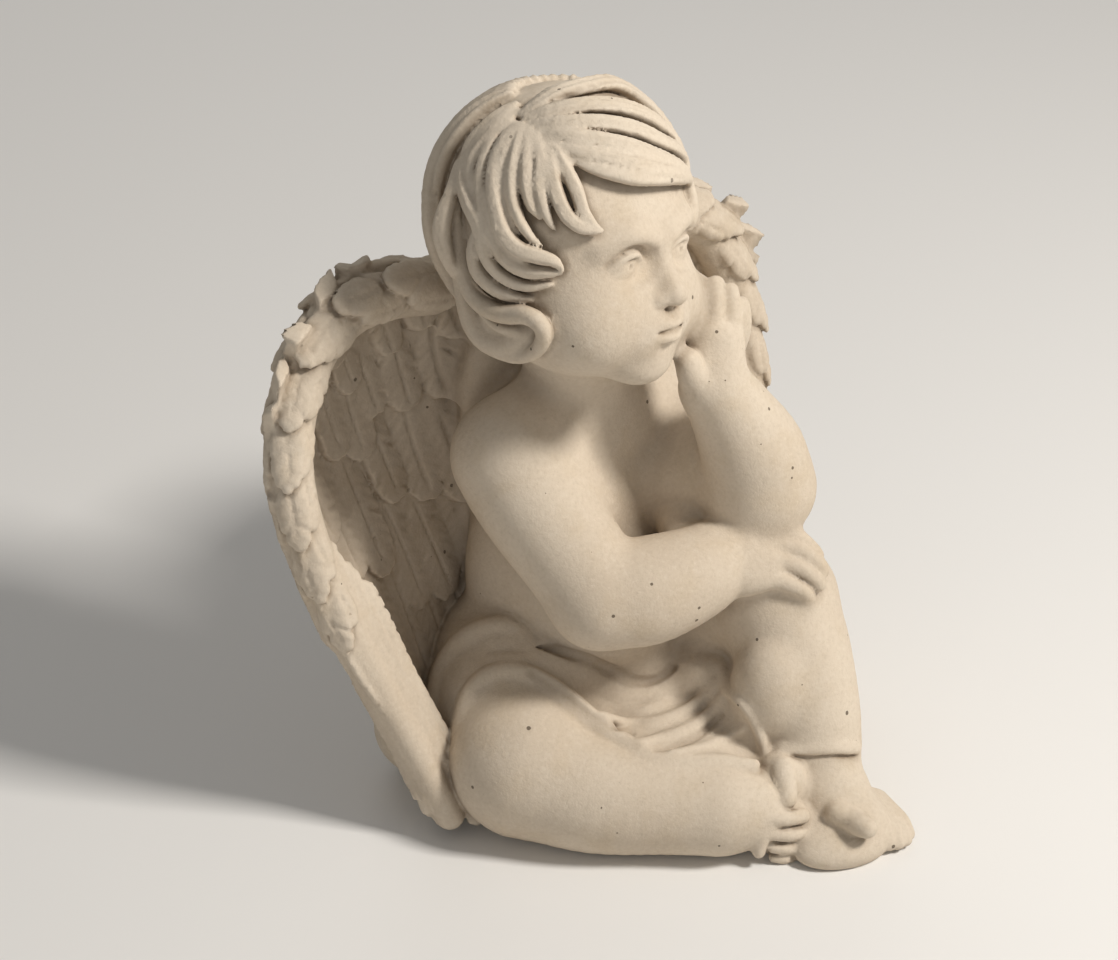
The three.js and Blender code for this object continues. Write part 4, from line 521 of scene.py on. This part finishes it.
# ---------------------------------------------------------------- wings
WING_YAW = 11.0
WING_ORIGIN = np.array([-5.0, 20.0, 0.0])
WING_THICK = 8.0
LEFT_SWEEP, LEFT_ROLL, LEFT_DROP = 8.0, 9.0, -4.0
LEFT_PIVOT = np.array([12.0, 45.0, 210.0])
RIM = [[58, 57, 283], [72, 57, 286.5], [92, 57, 288], [114, 56, 286.5], [137, 53, 276], [155, 49, 253], [167, 43, 226], [171, 36, 197], [168.5, 27, 164], [159, 16, 127], [147, 4, 88], [136, -10, 54], [126, -24, 22], [122.5, -29, 9]]
LEVELS = np.array([0, 50, 100, 150, 200, 250, 290], float)
REACH = [121, 135, 151, 165, 171, 157, 112]
RIM_DEPTH = [-31, -12, 8, 23, 37, 48.5, 57]
ROOT = [60, 45, 30, 20, 18, 20, 36]
ROOT_DEPTH = [45, 52, 50, 44, 41, 43, 54]
HOLLOW = [4, 6, 12, 24, 31, 24, 6]
OUTLINE = [(44, 276), (58, 283), (72, 286.5), (92, 288), (114, 286.5), (137, 276), (155, 253), (167, 226), (171, 197), (168.5, 164), (159, 127), (147, 88), (136, 54), (128, 22), (122, 9), (112, 9), (100, 30), (88, 52), (66, 60), (46, 66), (26, 90), (14, 140), (10, 190), (14, 232), (30, 262)]
FRONT_TIERS = [
    dict(t=[(95, 255), (79, 235), (62, 245), (46, 238), (30, 236)], L=40, W=10.5),
    dict(t=[(115, 240), (104, 221), (90, 202), (71, 200), (52, 203), (34, 198)], L=50, W=11.5),
    dict(t=[(131, 222), (117, 189), (100, 182), (85, 154), (65, 148), (46.5, 143), (28, 140)], L=62, W=12.5),
    dict(t=[(146, 190), (136, 155), (122, 130), (103, 123), (82, 96), (62, 92), (42, 84), (24, 96)], L=74, W=13),
    dict(t=[(142, 120), (131, 92), (117, 66), (101, 44), (86, 44), (70, 52), (52, 56), (34, 68)], L=86, W=13)]
BACK_TIERS = [
    dict(t=[(112, 262), (92, 250), (70, 246), (48, 238), (28, 236)], L=46, W=14),
    dict(t=[(142, 226), (120, 210), (98, 202), (76, 196), (54, 190), (32, 190)], L=60, W=15),
    dict(t=[(155, 170), (134, 150), (112, 142), (90, 138), (68, 134), (46, 132), (26, 138)], L=76, W=15.5),
    dict(t=[(152, 112), (134, 88), (116, 70), (98, 58), (80, 56), (62, 60), (44, 68)], L=96, W=15.5),
    dict(t=[(124, 14), (112, 24), (101, 40)], L=80, W=11)]


def level_curves():
    """every level table as a fine table, read back by linear interpolation"""
    zz = np.linspace(0, 290, 581)
    out = {}
    for name, V in (("reach", REACH), ("rim", RIM_DEPTH), ("root", ROOT), ("rootd", ROOT_DEPTH), ("hollow", HOLLOW)):
        v = np.array(V, float); i = np.clip(np.searchsorted(LEVELS, zz, side="right") - 1, 0, len(v) - 2)
        t = (zz - LEVELS[i]) / (LEVELS[i + 1] - LEVELS[i])
        p1 = v[i]; p2 = v[i + 1]
        p0 = np.where(i > 0, v[np.maximum(i - 1, 0)], 2 * p1 - p2); p3 = np.where(i < len(v) - 2, v[np.minimum(i + 2, len(v) - 1)], 2 * p2 - p1)
        out[name] = (0.5 * (2 * p1 + (-p0 + p2) * t + (2 * p0 - 5 * p1 + 4 * p2 - p3) * t * t + (-p0 + 3 * p1 - 3 * p2 + p3) * t ** 3)).astype(F4)
    return out


CURVES = level_curves()


def blade(a, z):
    zc = np.clip(z, 0, 289.99) * F4(2); i = zc.astype(np.int32); f = zc - i
    g = lambda n: CURVES[n][i] * (1 - f) + CURVES[n][i + 1] * f
    a0 = g("root"); t = np.clip((a - a0) / (g("reach") - a0), F4(-0.6), F4(1.3))
    return g("rootd") * (1 - t) + g("rim") * t + g("hollow") * 4 * t * (1 - t)


def outline_dist(a, z):
    n = len(OUTLINE); d = np.full(a.shape, F4(1e9)); s = np.ones(a.shape, F4)
    for i in range(n):
        ax, az = OUTLINE[i]; bx, bz = OUTLINE[i - 1]
        ex, ez = F4(bx - ax), F4(bz - az); wx, wz = a - F4(ax), z - F4(az)
        t = np.clip((wx * ex + wz * ez) / (ex * ex + ez * ez), 0, 1); dx, dz = wx - ex * t, wz - ez * t
        d = np.minimum(d, dx * dx + dz * dz)
        c1 = z >= az; c2 = z < bz; c3 = ex * wz > ez * wx
        s = np.where((c1 & c2 & c3) | (~c1 & ~c2 & ~c3), -s, s)
    return s * np.sqrt(d)


def tiers(rows, lean):
    out = []; k = 0
    for r in rows:
        for j, (a, z) in enumerate(r["t"]):
            k += 1
            h = math.sin(k * 12.9898) * 43758.5453; h -= math.floor(h)
            L = r["L"] * (0.93 + 0.14 * h); W = r["W"] * (0.94 + 0.12 * ((h * 7.3) % 1))
            ln = lean - (a - 90) * 0.0012 + (h - 0.5) * 0.08; dn = math.hypot(ln, 1.0); dx, dz = ln / dn, -1 / dn
            out.append(dict(a=a - dx * L, z=z - dz * L, dx=dx, dz=dz, L=L, W=W, ph=h * 6.28, lift=(0.7 if j % 2 else 0.0) + 0.3 * h, tilt=0.8 if j % 2 else -0.5))
    return out


def feather(f, a, z):
    pa, pz = a - F4(f["a"]), z - F4(f["z"])
    s = pa * F4(f["dx"]) + pz * F4(f["dz"]); u = pz * F4(f["dx"]) - pa * F4(f["dz"])
    L, W, ph = f["L"], f["W"], f["ph"]
    t = np.clip(s * F4(1 / L), 0, 1); tip = np.clip((s - F4(L - W * 1.15)) * F4(1 / (W * 1.15)), 0, 1)
    w = F4(W) * (F4(0.72) + F4(0.28) * np.clip(t * F4(1.6), 0, 1)) * np.sqrt(np.maximum(0, 1 - tip ** 2.2))
    au = np.abs(u)
    # torn, nicked edge
    side = np.where(u > 0, F4(1.7), F4(-0.9))
    nick = F4(0.6) * np.sin(s * F4(0.85) + F4(ph) + side) * np.sin(s * F4(0.37) + F4(2 * ph)) + F4(0.4) * np.sin(s * F4(1.9) + F4(3 * ph) + side)
    edge = np.maximum(np.maximum(au - w + nick * t, s - F4(L) + F4(0.5) * np.sin(u * F4(0.9) + F4(ph))), -s - 2)
    un = u / np.maximum(w, 3)
    h = F4(1.0 + f["lift"]) + F4(6.0) * t ** 1.2 - F4(1.9) * np.minimum(un * un, F4(1.4)) + F4(f["tilt"]) * np.clip(un, -1, 1)
    # incised shaft and slanting barb cuts
    bend = F4(0.9) * np.sin(s * F4(0.06) + F4(ph))
    g = np.exp(-((u - bend) / F4(0.8)) ** 2) * np.clip((t - F4(0.08)) * 6, 0, 1) * np.clip((F4(0.9) - t) * 12, 0, 1)
    h = h - F4(1.7) * g
    b = F4(0.5) + F4(0.5) * np.cos((s * F4(0.9) - au * F4(0.8)) * F4(1.05) + F4(ph) + F4(0.8) * np.sin(s * F4(0.31) + F4(ph)))
    h = h - F4(0.7) * b ** 3 * np.clip(np.abs(un) * F4(2.2) - F4(0.25), 0, 1)
    # a few deeper oblique cuts in from the edge
    c = F4(0.5) + F4(0.5) * np.cos((s - au * F4(0.7)) * F4(0.27) + F4(2.3 * ph) + side)
    h = h - F4(1.6) * c ** 24 * np.clip(np.abs(un) * 2 - F4(0.5), 0, 1)
    return np.minimum(h, -edge * F4(2.6) - 1)


MAP, MAP_A, MAP_Z = 0.4, -12.0, -8.0     # step and corner of the relief maps over a wing


def shingle(rows, a, z, base):
    h = base
    for f in rows:
        ex, ez = f["a"] + f["dx"] * f["L"], f["z"] + f["dz"] * f["L"]; m = f["W"] + 4
        i0, i1 = [int((v - MAP_A) / MAP) for v in (min(f["a"], ex) - m, max(f["a"], ex) + m)]
        j0, j1 = [int((v - MAP_Z) / MAP) for v in (min(f["z"], ez) - m, max(f["z"], ez) + m)]
        w = (slice(max(i0, 0), max(i1, 0)), slice(max(j0, 0), max(j1, 0)))
        if h[w].size:
            h[w] = np.maximum(h[w], feather(f, a[w], z[w]))
    return h


def relief():
    """depth of the blade, carved relief of its two faces and slope correction, over (across, up)"""
    a, z = np.meshgrid(np.arange(MAP_A, 184, MAP, dtype=F4), np.arange(MAP_Z, 298, MAP, dtype=F4), indexing="ij")
    y0 = blade(a, z)
    base = np.minimum(0, -outline_dist(a, z) * F4(2.4))
    fr = shingle(tiers(FRONT_TIERS, -0.2), a, z, base.copy()); bk = shingle(tiers(BACK_TIERS, -0.24), a, z, base.copy())
    ga, gz = np.gradient(y0, MAP)
    g = F4(0.62) / np.sqrt(1 + np.minimum(ga * ga + gz * gz, 6))
    return np.stack([y0, fr, bk, g], -1).astype(F4)


RELIEF = relief()


class Pod(Ell):
    """a covert: an ellipsoid with an incised shaft and slanting cuts on its face"""
    def __init__(s, c, r, k, q, ph):
        Ell.__init__(s, c, r, k, q); s.ph = ph

    def at(s, X, Y, Z, c, hd):
        d, k = Ell.at(s, X, Y, Z, c, hd)
        if float(d.min()) > 4:
            return d, k
        M = s.M; x, y, z = X - F4(s.bc[0]), Y - F4(s.bc[1]), Z - F4(s.bc[2])
        u = x * M[0, 0] + y * M[1, 0] + z * M[2, 0]; v = x * M[0, 1] + y * M[1, 1] + z * M[2, 1]
        g = np.exp(-((v - F4(0.8) * np.sin(u * F4(0.12) + F4(s.ph))) / F4(0.8)) ** 2) * np.clip((s.r[0] * F4(0.7) - np.abs(u)) * F4(0.3), 0, 1)
        b = F4(0.5) + F4(0.5) * np.cos((u - np.abs(v) * F4(0.8)) * F4(0.8) + F4(s.ph))
        e = F4(0.5) + F4(0.5) * np.cos((u - np.abs(v)) * F4(0.3) + F4(2.1 * s.ph))
        return d + F4(1.1) * g + F4(0.5) * b ** 3 + F4(1.2) * e ** 20 * np.clip(np.abs(v) * F4(0.25), 0, 1), k


def wing(side):
    Y = rotm([0, 0, WING_YAW]); piv = Y @ LEFT_PIVOT
    pw = WING_ORIGIN + piv + np.array([0, 0, LEFT_DROP])
    M = rotm([0, 0, WING_YAW + LEFT_SWEEP]) @ rotm([0, LEFT_ROLL, 0])

    def out(a, y, z):
        if side < 0:
            return WING_ORIGIN + Y @ np.array([-a, y, z])
        return pw + M @ (np.array([a, y, z]) - LEFT_PIVOT)

    def outd(v):
        return unit(out(*v) - out(0, 0, 0))
    R = (Y @ np.diag([-1.0, 1, 1]) if side < 0 else M).astype(F4)
    O = (WING_ORIGIN if side < 0 else pw - M @ LEFT_PIVOT).astype(F4)
    na, nz = RELIEF.shape[:2]; T = RELIEF.reshape(-1, 4)

    def fn(X, Y_, Z, c, hd):
        x, y, z = X - O[0], Y_ - O[1], Z - O[2]
        a = x * R[0, 0] + y * R[1, 0] + z * R[2, 0]; b = x * R[0, 1] + y * R[1, 1] + z * R[2, 1]; w = x * R[0, 2] + y * R[1, 2] + z * R[2, 2]
        u = (a - F4(MAP_A)) * F4(1 / MAP); v = (w - F4(MAP_Z)) * F4(1 / MAP)
        uc = np.clip(u, 0, na - 1.01); vc = np.clip(v, 0, nz - 1.01)
        i = uc.astype(np.int32); j = vc.astype(np.int32); fu = (uc - i)[:, None]; fv = (vc - j)[:, None]; k = i * nz + j
        m = (T[k] * (1 - fv) + T[k + 1] * fv) * (1 - fu) + (T[k + nz] * (1 - fv) + T[k + nz + 1] * fv) * fu
        gap = b - m[:, 0]
        d = np.maximum(-m[:, 1] - gap, gap - WING_THICK - F4(0.75) * m[:, 2]) * m[:, 3]
        far = np.maximum(np.abs(u - uc), np.abs(v - vc)) * F4(MAP)
        return np.clip(np.where(far > 0, np.maximum(d, far), d), -60, 60).astype(F4)
    add(Field(fn, out(92, 30, 148), 178, 1.5))
    C = catmull(RIM, 8); S = np.concatenate([[0], np.cumsum(np.linalg.norm(np.diff(C, axis=0), axis=1))])

    def on_rim(t):
        s = min(1, max(0, t)) * S[-1]; j = int(min(len(S) - 2, np.searchsorted(S, s, side="right") - 1)); f = (s - S[j]) / (S[j + 1] - S[j])
        return C[j] * (1 - f) + C[j + 1] * f
    roll_r = lambda t: 13.5 - 6 * min(1, max(0, t))

    def radial(t):
        p = on_rim(t)
        return unit([p[0] - 86, 0, (p[2] - 165) * (1.25 if p[2] > 165 else 0.35)])
    roll_c = lambda t: on_rim(t) - radial(t) * roll_r(t) * 0.9
    add(Tube([list(out(*roll_c(i / 14))) + [roll_r(i / 14)] for i in range(15)], 3, 2))
    add(Ell(out(26, 40, 205), [26, 15, 52], 14, rotm([0, 0, WING_YAW])))
    add(Ell(out(24, 44, 150), [20, 14, 60], 12, rotm([0, 0, WING_YAW])))
    ranks = [dict(mix=(0.75, 0.65), start=0.0, half=24, wide=11, lift=1.5), dict(mix=(0.05, 1), start=-0.03, half=22, wide=8.5, lift=0.5), dict(mix=(0.7, -0.7), start=0.02, half=24, wide=11, lift=1.2)]
    for ri, rk in enumerate(ranks):
        for i in range(8):
            t = rk["start"] + 0.045 + i * 0.085; c = roll_c(t); d = radial(t)
            n0 = unit([d[0] * rk["mix"][0], -rk["mix"][1], d[2] * rk["mix"][0]]); al = unit(roll_c(t + 0.02) - roll_c(t - 0.02))
            r = roll_r(t) - 1.5 + rk["lift"]; al = unit(al + n0 * 0.16)
            P = out(*(c + n0 * r)); ax = outd(al); nn = outd(n0); nn = unit(nn - ax * float(nn @ ax)); bb = np.cross(nn, ax); sc = 1 - 0.035 * i
            add(Pod(P, [rk["half"] * sc, rk["wide"] * sc, 5 * sc], 1.2, np.stack([ax, bb, nn], 1), 1.7 * i + ri))
    # long primaries running down to the wing tip
    for i in range(5):
        t0 = 0.47 + 0.04 * i; row = []
        for j in range(6):
            v = j / 5; p = on_rim(t0 + (min(1.0, 0.8 + 0.05 * i) - t0) * v); inw = 4 + i * 5.2 * (1 - 0.45 * v) + 2 * v
            row.append(list(out(p[0] - inw, p[1] - 7 - 0.6 * i + inw * 0.28, p[2] + inw * 0.15)) + [8.5 if 0 < j < 5 else 6.5])
        add(Tube(row, 0.8, 3, 0.42, None, out(0, -1, 0.3) - out(0, 0, 0), False, (0.9, 3, 0.7 * i, 1.1)))


# ---------------------------------------------------------------- build the solid
body()
cloth()
face()
hair()
wing(-1)
wing(1)


def build_mesh():
    prepare()
    D, n_on = sample(LOW, HIGH, GRID)
    t1 = time.time()
    print("sampled", D.shape, n_on, "blocks", round(t1 - T0, 1), "s")
    V, Q = surface_nets(D, LOW, GRID)
    keep = keep_largest(len(V), Q)
    ix = np.cumsum(keep) - 1; V = V[keep]; Q = ix[Q[keep[Q[:, 0]]]]
    V[:, 2] = np.maximum(V[:, 2], 0.0)
    print("skin", len(V), len(Q), round(time.time() - T0, 1), "s")
    return D, V, Q


def grid_value(D, P):
    """trilinear distance at points P"""
    g = (P - np.array(LOW)) / GRID
    i = np.clip(np.floor(g).astype(int), 0, np.array(D.shape) - 2); f = np.clip(g - i, 0, 1)
    out = np.zeros(len(P))
    for a in (0, 1):
        for b in (0, 1):
            for c in (0, 1):
                w = (f[:, 0] if a else 1 - f[:, 0]) * (f[:, 1] if b else 1 - f[:, 1]) * (f[:, 2] if c else 1 - f[:, 2])
                out += w * np.clip(D[i[:, 0] + a, i[:, 1] + b, i[:, 2] + c], -20, 20)
    return out


D, V, Q = build_mesh()
me = bpy.data.meshes.new("putto_stone")
W = (V - np.array([CENTRE[0], CENTRE[1], 0.0])) / 1000.0
me.vertices.add(len(W)); me.vertices.foreach_set("co", W.astype(F4).ravel())
me.loops.add(len(Q) * 4); me.loops.foreach_set("vertex_index", Q.astype(np.int32).ravel())
me.polygons.add(len(Q)); me.polygons.foreach_set("loop_start", np.arange(len(Q), dtype=np.int32) * 4)
me.update(calc_edges=True); me.validate()
stone = bpy.data.objects.new("putto_stone", me)
bpy.context.scene.collection.objects.link(stone)
tris = len(Q) * 2
if tris > TRIANGLES:
    m = stone.modifiers.new("thin", "DECIMATE"); m.ratio = TRIANGLES / tris
    dg = bpy.context.evaluated_depsgraph_get()
    thin = bpy.data.meshes.new_from_object(stone.evaluated_get(dg))
    stone.modifiers.clear(); stone.data = thin; bpy.data.meshes.remove(me); me = thin; me.name = "putto_stone"
me.polygons.foreach_set("use_smooth", np.ones(len(me.polygons), bool))
me.update()
print("thinned", len(me.polygons), round(time.time() - T0, 1), "s")

# ---------------------------------------------------------------- where grime and painted shade go: how enclosed each point is
n = len(me.vertices)
P = np.empty(n * 3, F4); me.vertices.foreach_get("co", P); P = P.reshape(-1, 3).astype(float) * 1000 + np.array([CENTRE[0], CENTRE[1], 0.0])
N = np.empty(n * 3, F4); me.vertex_normals.foreach_get("vector", N); N = N.reshape(-1, 3).astype(float)
small = np.clip(1 - grid_value(D, P + N * 3.0) / 3.0, 0, 1.5)
large = np.clip(1 - grid_value(D, P + N * 10.0) / 10.0, 0, 1.5)
edge = np.clip(grid_value(D, P - N * 4.0) / -4.0, 0, 1)
for name, val in (("cav_small", small), ("cav_large", large), ("edge", edge)):
    at = me.attributes.new(name, "FLOAT", "POINT"); at.data.foreach_set("value", val.astype(F4))

# ---------------------------------------------------------------- weathered cast stone
mat = bpy.data.materials.new("cast_stone"); mat.use_nodes = True
nt = mat.node_tree; nt.nodes.clear()


def node(kind, **kw):
    nd = nt.nodes.new(kind)
    for k, v in kw.items():
        if k.startswith("_"):
            setattr(nd, k[1:], v)
        else:
            nd.inputs[k.replace("__", " ")].default_value = v
    return nd


def link(a, b):
    nt.links.new(a, b)


def noise(scale, detail=4.0, rough=0.55, off=(0, 0, 0)):
    mp = node("ShaderNodeMapping"); mp.inputs["Location"].default_value = off
    link(geo.outputs["Object"], mp.inputs["Vector"])
    nz = node("ShaderNodeTexNoise"); nz.inputs["Scale"].default_value = scale; nz.inputs["Detail"].default_value = detail; nz.inputs["Roughness"].default_value = rough
    link(mp.outputs["Vector"], nz.inputs["Vector"])
    return nz.outputs["Fac"]


def ramp(src, stops):
    r = node("ShaderNodeValToRGB"); e = r.color_ramp.elements
    while len(e) < len(stops):
        e.new(0.5)
    for el, (p, c) in zip(e, stops):
        el.position = p; el.color = c if len(c) == 4 else (*c, 1)
    link(src, r.inputs["Fac"])
    return r.outputs["Color"]


def span(src, a, b, c=0.0, d=1.0):
    m = node("ShaderNodeMapRange"); m.clamp = True
    m.inputs["From Min"].default_value = a; m.inputs["From Max"].default_value = b; m.inputs["To Min"].default_value = c; m.inputs["To Max"].default_value = d
    link(src, m.inputs["Value"])
    return m.outputs["Result"]


def calc(op, a, b=None, clamp=False):
    m = node("ShaderNodeMath", _operation=op, _use_clamp=clamp)
    for s, v in ((0, a), (1, b)):
        if v is None:
            continue
        if isinstance(v, (int, float)):
            m.inputs[s].default_value = v
        else:
            link(v, m.inputs[s])
    return m.outputs["Value"]


def mix(fac, a, b, mode="MIX"):
    m = node("ShaderNodeMix", _data_type="RGBA", _blend_type=mode)
    for s, v in (("Factor", fac), ("A", a), ("B", b)):
        k = {"Factor": 0, "A": 6, "B": 7}[s]
        if isinstance(v, (int, float)):
            m.inputs[k].default_value = v
        elif isinstance(v, tuple):
            m.inputs[k].default_value = (*v, 1)
        else:
            link(v, m.inputs[k])
    return m.outputs[2]


geo = node("ShaderNodeTexCoord")
attr = {}
for name in ("cav_small", "cav_large", "edge"):
    a_ = node("ShaderNodeAttribute", _attribute_name=name); attr[name] = a_.outputs["Fac"]
big = noise(9.0, 3.0, 0.55)
mid = noise(38.0, 4.0, 0.6, (3.1, 0.7, 1.9))
fine = noise(420.0, 3.0, 0.65, (1.3, 5.1, 2.2))
speck = noise(900.0, 2.0, 0.6, (7.3, 1.1, 4.2))
col = mix(span(big, 0.3, 0.72), (0.560, 0.470, 0.365), (0.655, 0.570, 0.460))
col = mix(calc("MULTIPLY", span(mid, 0.5, 0.78), 0.5), col, (0.52, 0.415, 0.285))
col = mix(calc("MULTIPLY", span(fine, 0.52, 0.75), 0.22), col, (0.36, 0.29, 0.21))
col = mix(calc("MULTIPLY", span(fine, 0.48, 0.25), 0.25), col, (0.74, 0.67, 0.565))
# grime and painted shade in the recesses: the more enclosed a point, the darker its colour
c1 = calc("MULTIPLY", span(attr["cav_small"], 0.12, 0.75), span(mid, 0.25, 0.7, 0.45, 1.0))
c2 = calc("MULTIPLY", span(attr["cav_large"], 0.35, 1.15), span(big, 0.3, 0.7, 0.4, 1.0))
grime_and_painted_shade = calc("MAXIMUM", calc("MULTIPLY", c1, 0.80), calc("MULTIPLY", c2, 0.55))
col = mix(grime_and_painted_shade, col, (0.17, 0.115, 0.07))
# pinholes, painted near black as the shade inside them
vor = node("ShaderNodeTexVoronoi", _feature="F1"); vor.inputs["Scale"].default_value = 135.0; vor.inputs["Randomness"].default_value = 1.0
link(geo.outputs["Object"], vor.inputs["Vector"])
sep = node("ShaderNodeSeparateColor"); link(vor.outputs["Color"], sep.inputs["Color"])
patch = span(noise(21.0, 2.0, 0.5, (4.4, 2.2, 8.1)), 0.5, 0.62)
size = calc("MULTIPLY", calc("POWER", sep.outputs["Red"], 3.0), 0.17)
hole = calc("MULTIPLY", calc("LESS_THAN", vor.outputs["Distance"], size), calc("GREATER_THAN", calc("ADD", sep.outputs["Green"], calc("MULTIPLY", patch, 0.5)), 0.80))
col = mix(calc("MULTIPLY", hole, 0.82), col, (0.085, 0.062, 0.042))
# worn edges a little paler
col = mix(calc("MULTIPLY", span(attr["edge"], 0.75, 0.2), 0.25), col, (0.74, 0.66, 0.55))
bs = node("ShaderNodeBsdfPrincipled"); bs.inputs["Specular IOR Level"].default_value = 0.22
link(col, bs.inputs["Base Color"])
link(span(fine, 0.3, 0.7, 0.86, 0.97), bs.inputs["Roughness"])
h = calc("ADD", calc("MULTIPLY", fine, 0.5), calc("MULTIPLY", speck, 0.35))
h = calc("ADD", h, calc("MULTIPLY", mid, 0.6)); h = calc("SUBTRACT", h, calc("MULTIPLY", hole, 1.2))
bp = node("ShaderNodeBump"); bp.inputs["Strength"].default_value = 0.55; bp.inputs["Distance"].default_value = 0.0009
link(h, bp.inputs["Height"]); link(bp.outputs["Normal"], bs.inputs["Normal"])
out = node("ShaderNodeOutputMaterial"); link(bs.outputs["BSDF"], out.inputs["Surface"])
me.materials.clear(); me.materials.append(mat)

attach(stone, "root")
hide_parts("putto")

# ---------------------------------------------------------------- floor, light, camera
fm = bpy.data.meshes.new("floor"); S = 6.0
fm.from_pydata([(-S, -S, 0), (S, -S, 0), (S, S, 0), (-S, S, 0)], [], [(0, 1, 2, 3)]); fm.update()
floor = bpy.data.objects.new("floor", fm); bpy.context.scene.collection.objects.link(floor)
fmat = bpy.data.materials.new("floor"); fmat.use_nodes = True
fb = fmat.node_tree.nodes["Principled BSDF"]; fb.inputs["Base Color"].default_value = (0.80, 0.79, 0.77, 1); fb.inputs["Roughness"].default_value = 0.9; fb.inputs["Specular IOR Level"].default_value = 0.1
fm.materials.append(fmat)

sc = bpy.context.scene
cam = bpy.data.objects.new("camera", bpy.data.cameras.new("camera")); sc.collection.objects.link(cam); sc.camera = cam
cam.data.sensor_width = 36.0; cam.data.lens = 98.855; cam.data.clip_start = 0.05; cam.data.clip_end = 30
cam.location = (-0.6793 - CENTRE[0] / 1000, -1.2123 - CENTRE[1] / 1000, 0.9727)
cam.rotation_euler = (math.radians(60.0), 0, math.radians(-28.0))


def lamp(name, at, to, size, watts, colour):
    L = bpy.data.lights.new(name, "AREA"); L.size = size; L.energy = watts; L.color = colour
    o = bpy.data.objects.new(name, L); sc.collection.objects.link(o); o.location = at
    d = np.array(to, float) - np.array(at, float); d /= np.linalg.norm(d)
    o.rotation_euler = (math.acos(max(-1.0, min(1.0, -d[2]))), 0, math.atan2(d[1], d[0]) - math.pi / 2)
    return o


lamp("key", (0.95, -1.15, 1.70), (0, 0, 0.2), 0.40, 44, (1.0, 0.955, 0.90))
lamp("fill", (-1.6, -1.9, 1.1), (0, 0, 0.2), 1.8, 5, (0.97, 0.98, 1.0))
lamp("back", (0.5, 2.0, 1.7), (0, 0, 0.2), 1.4, 7, (1.0, 0.98, 0.95))
world = bpy.data.worlds.new("world"); sc.world = world; world.use_nodes = True
bg = world.node_tree.nodes["Background"]; bg.inputs["Color"].default_value = (1, 0.985, 0.96, 1); bg.inputs["Strength"].default_value = 0.24
sc.view_settings.view_transform = "Standard"

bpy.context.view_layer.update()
print("done", round(time.time() - T0, 1), "s")
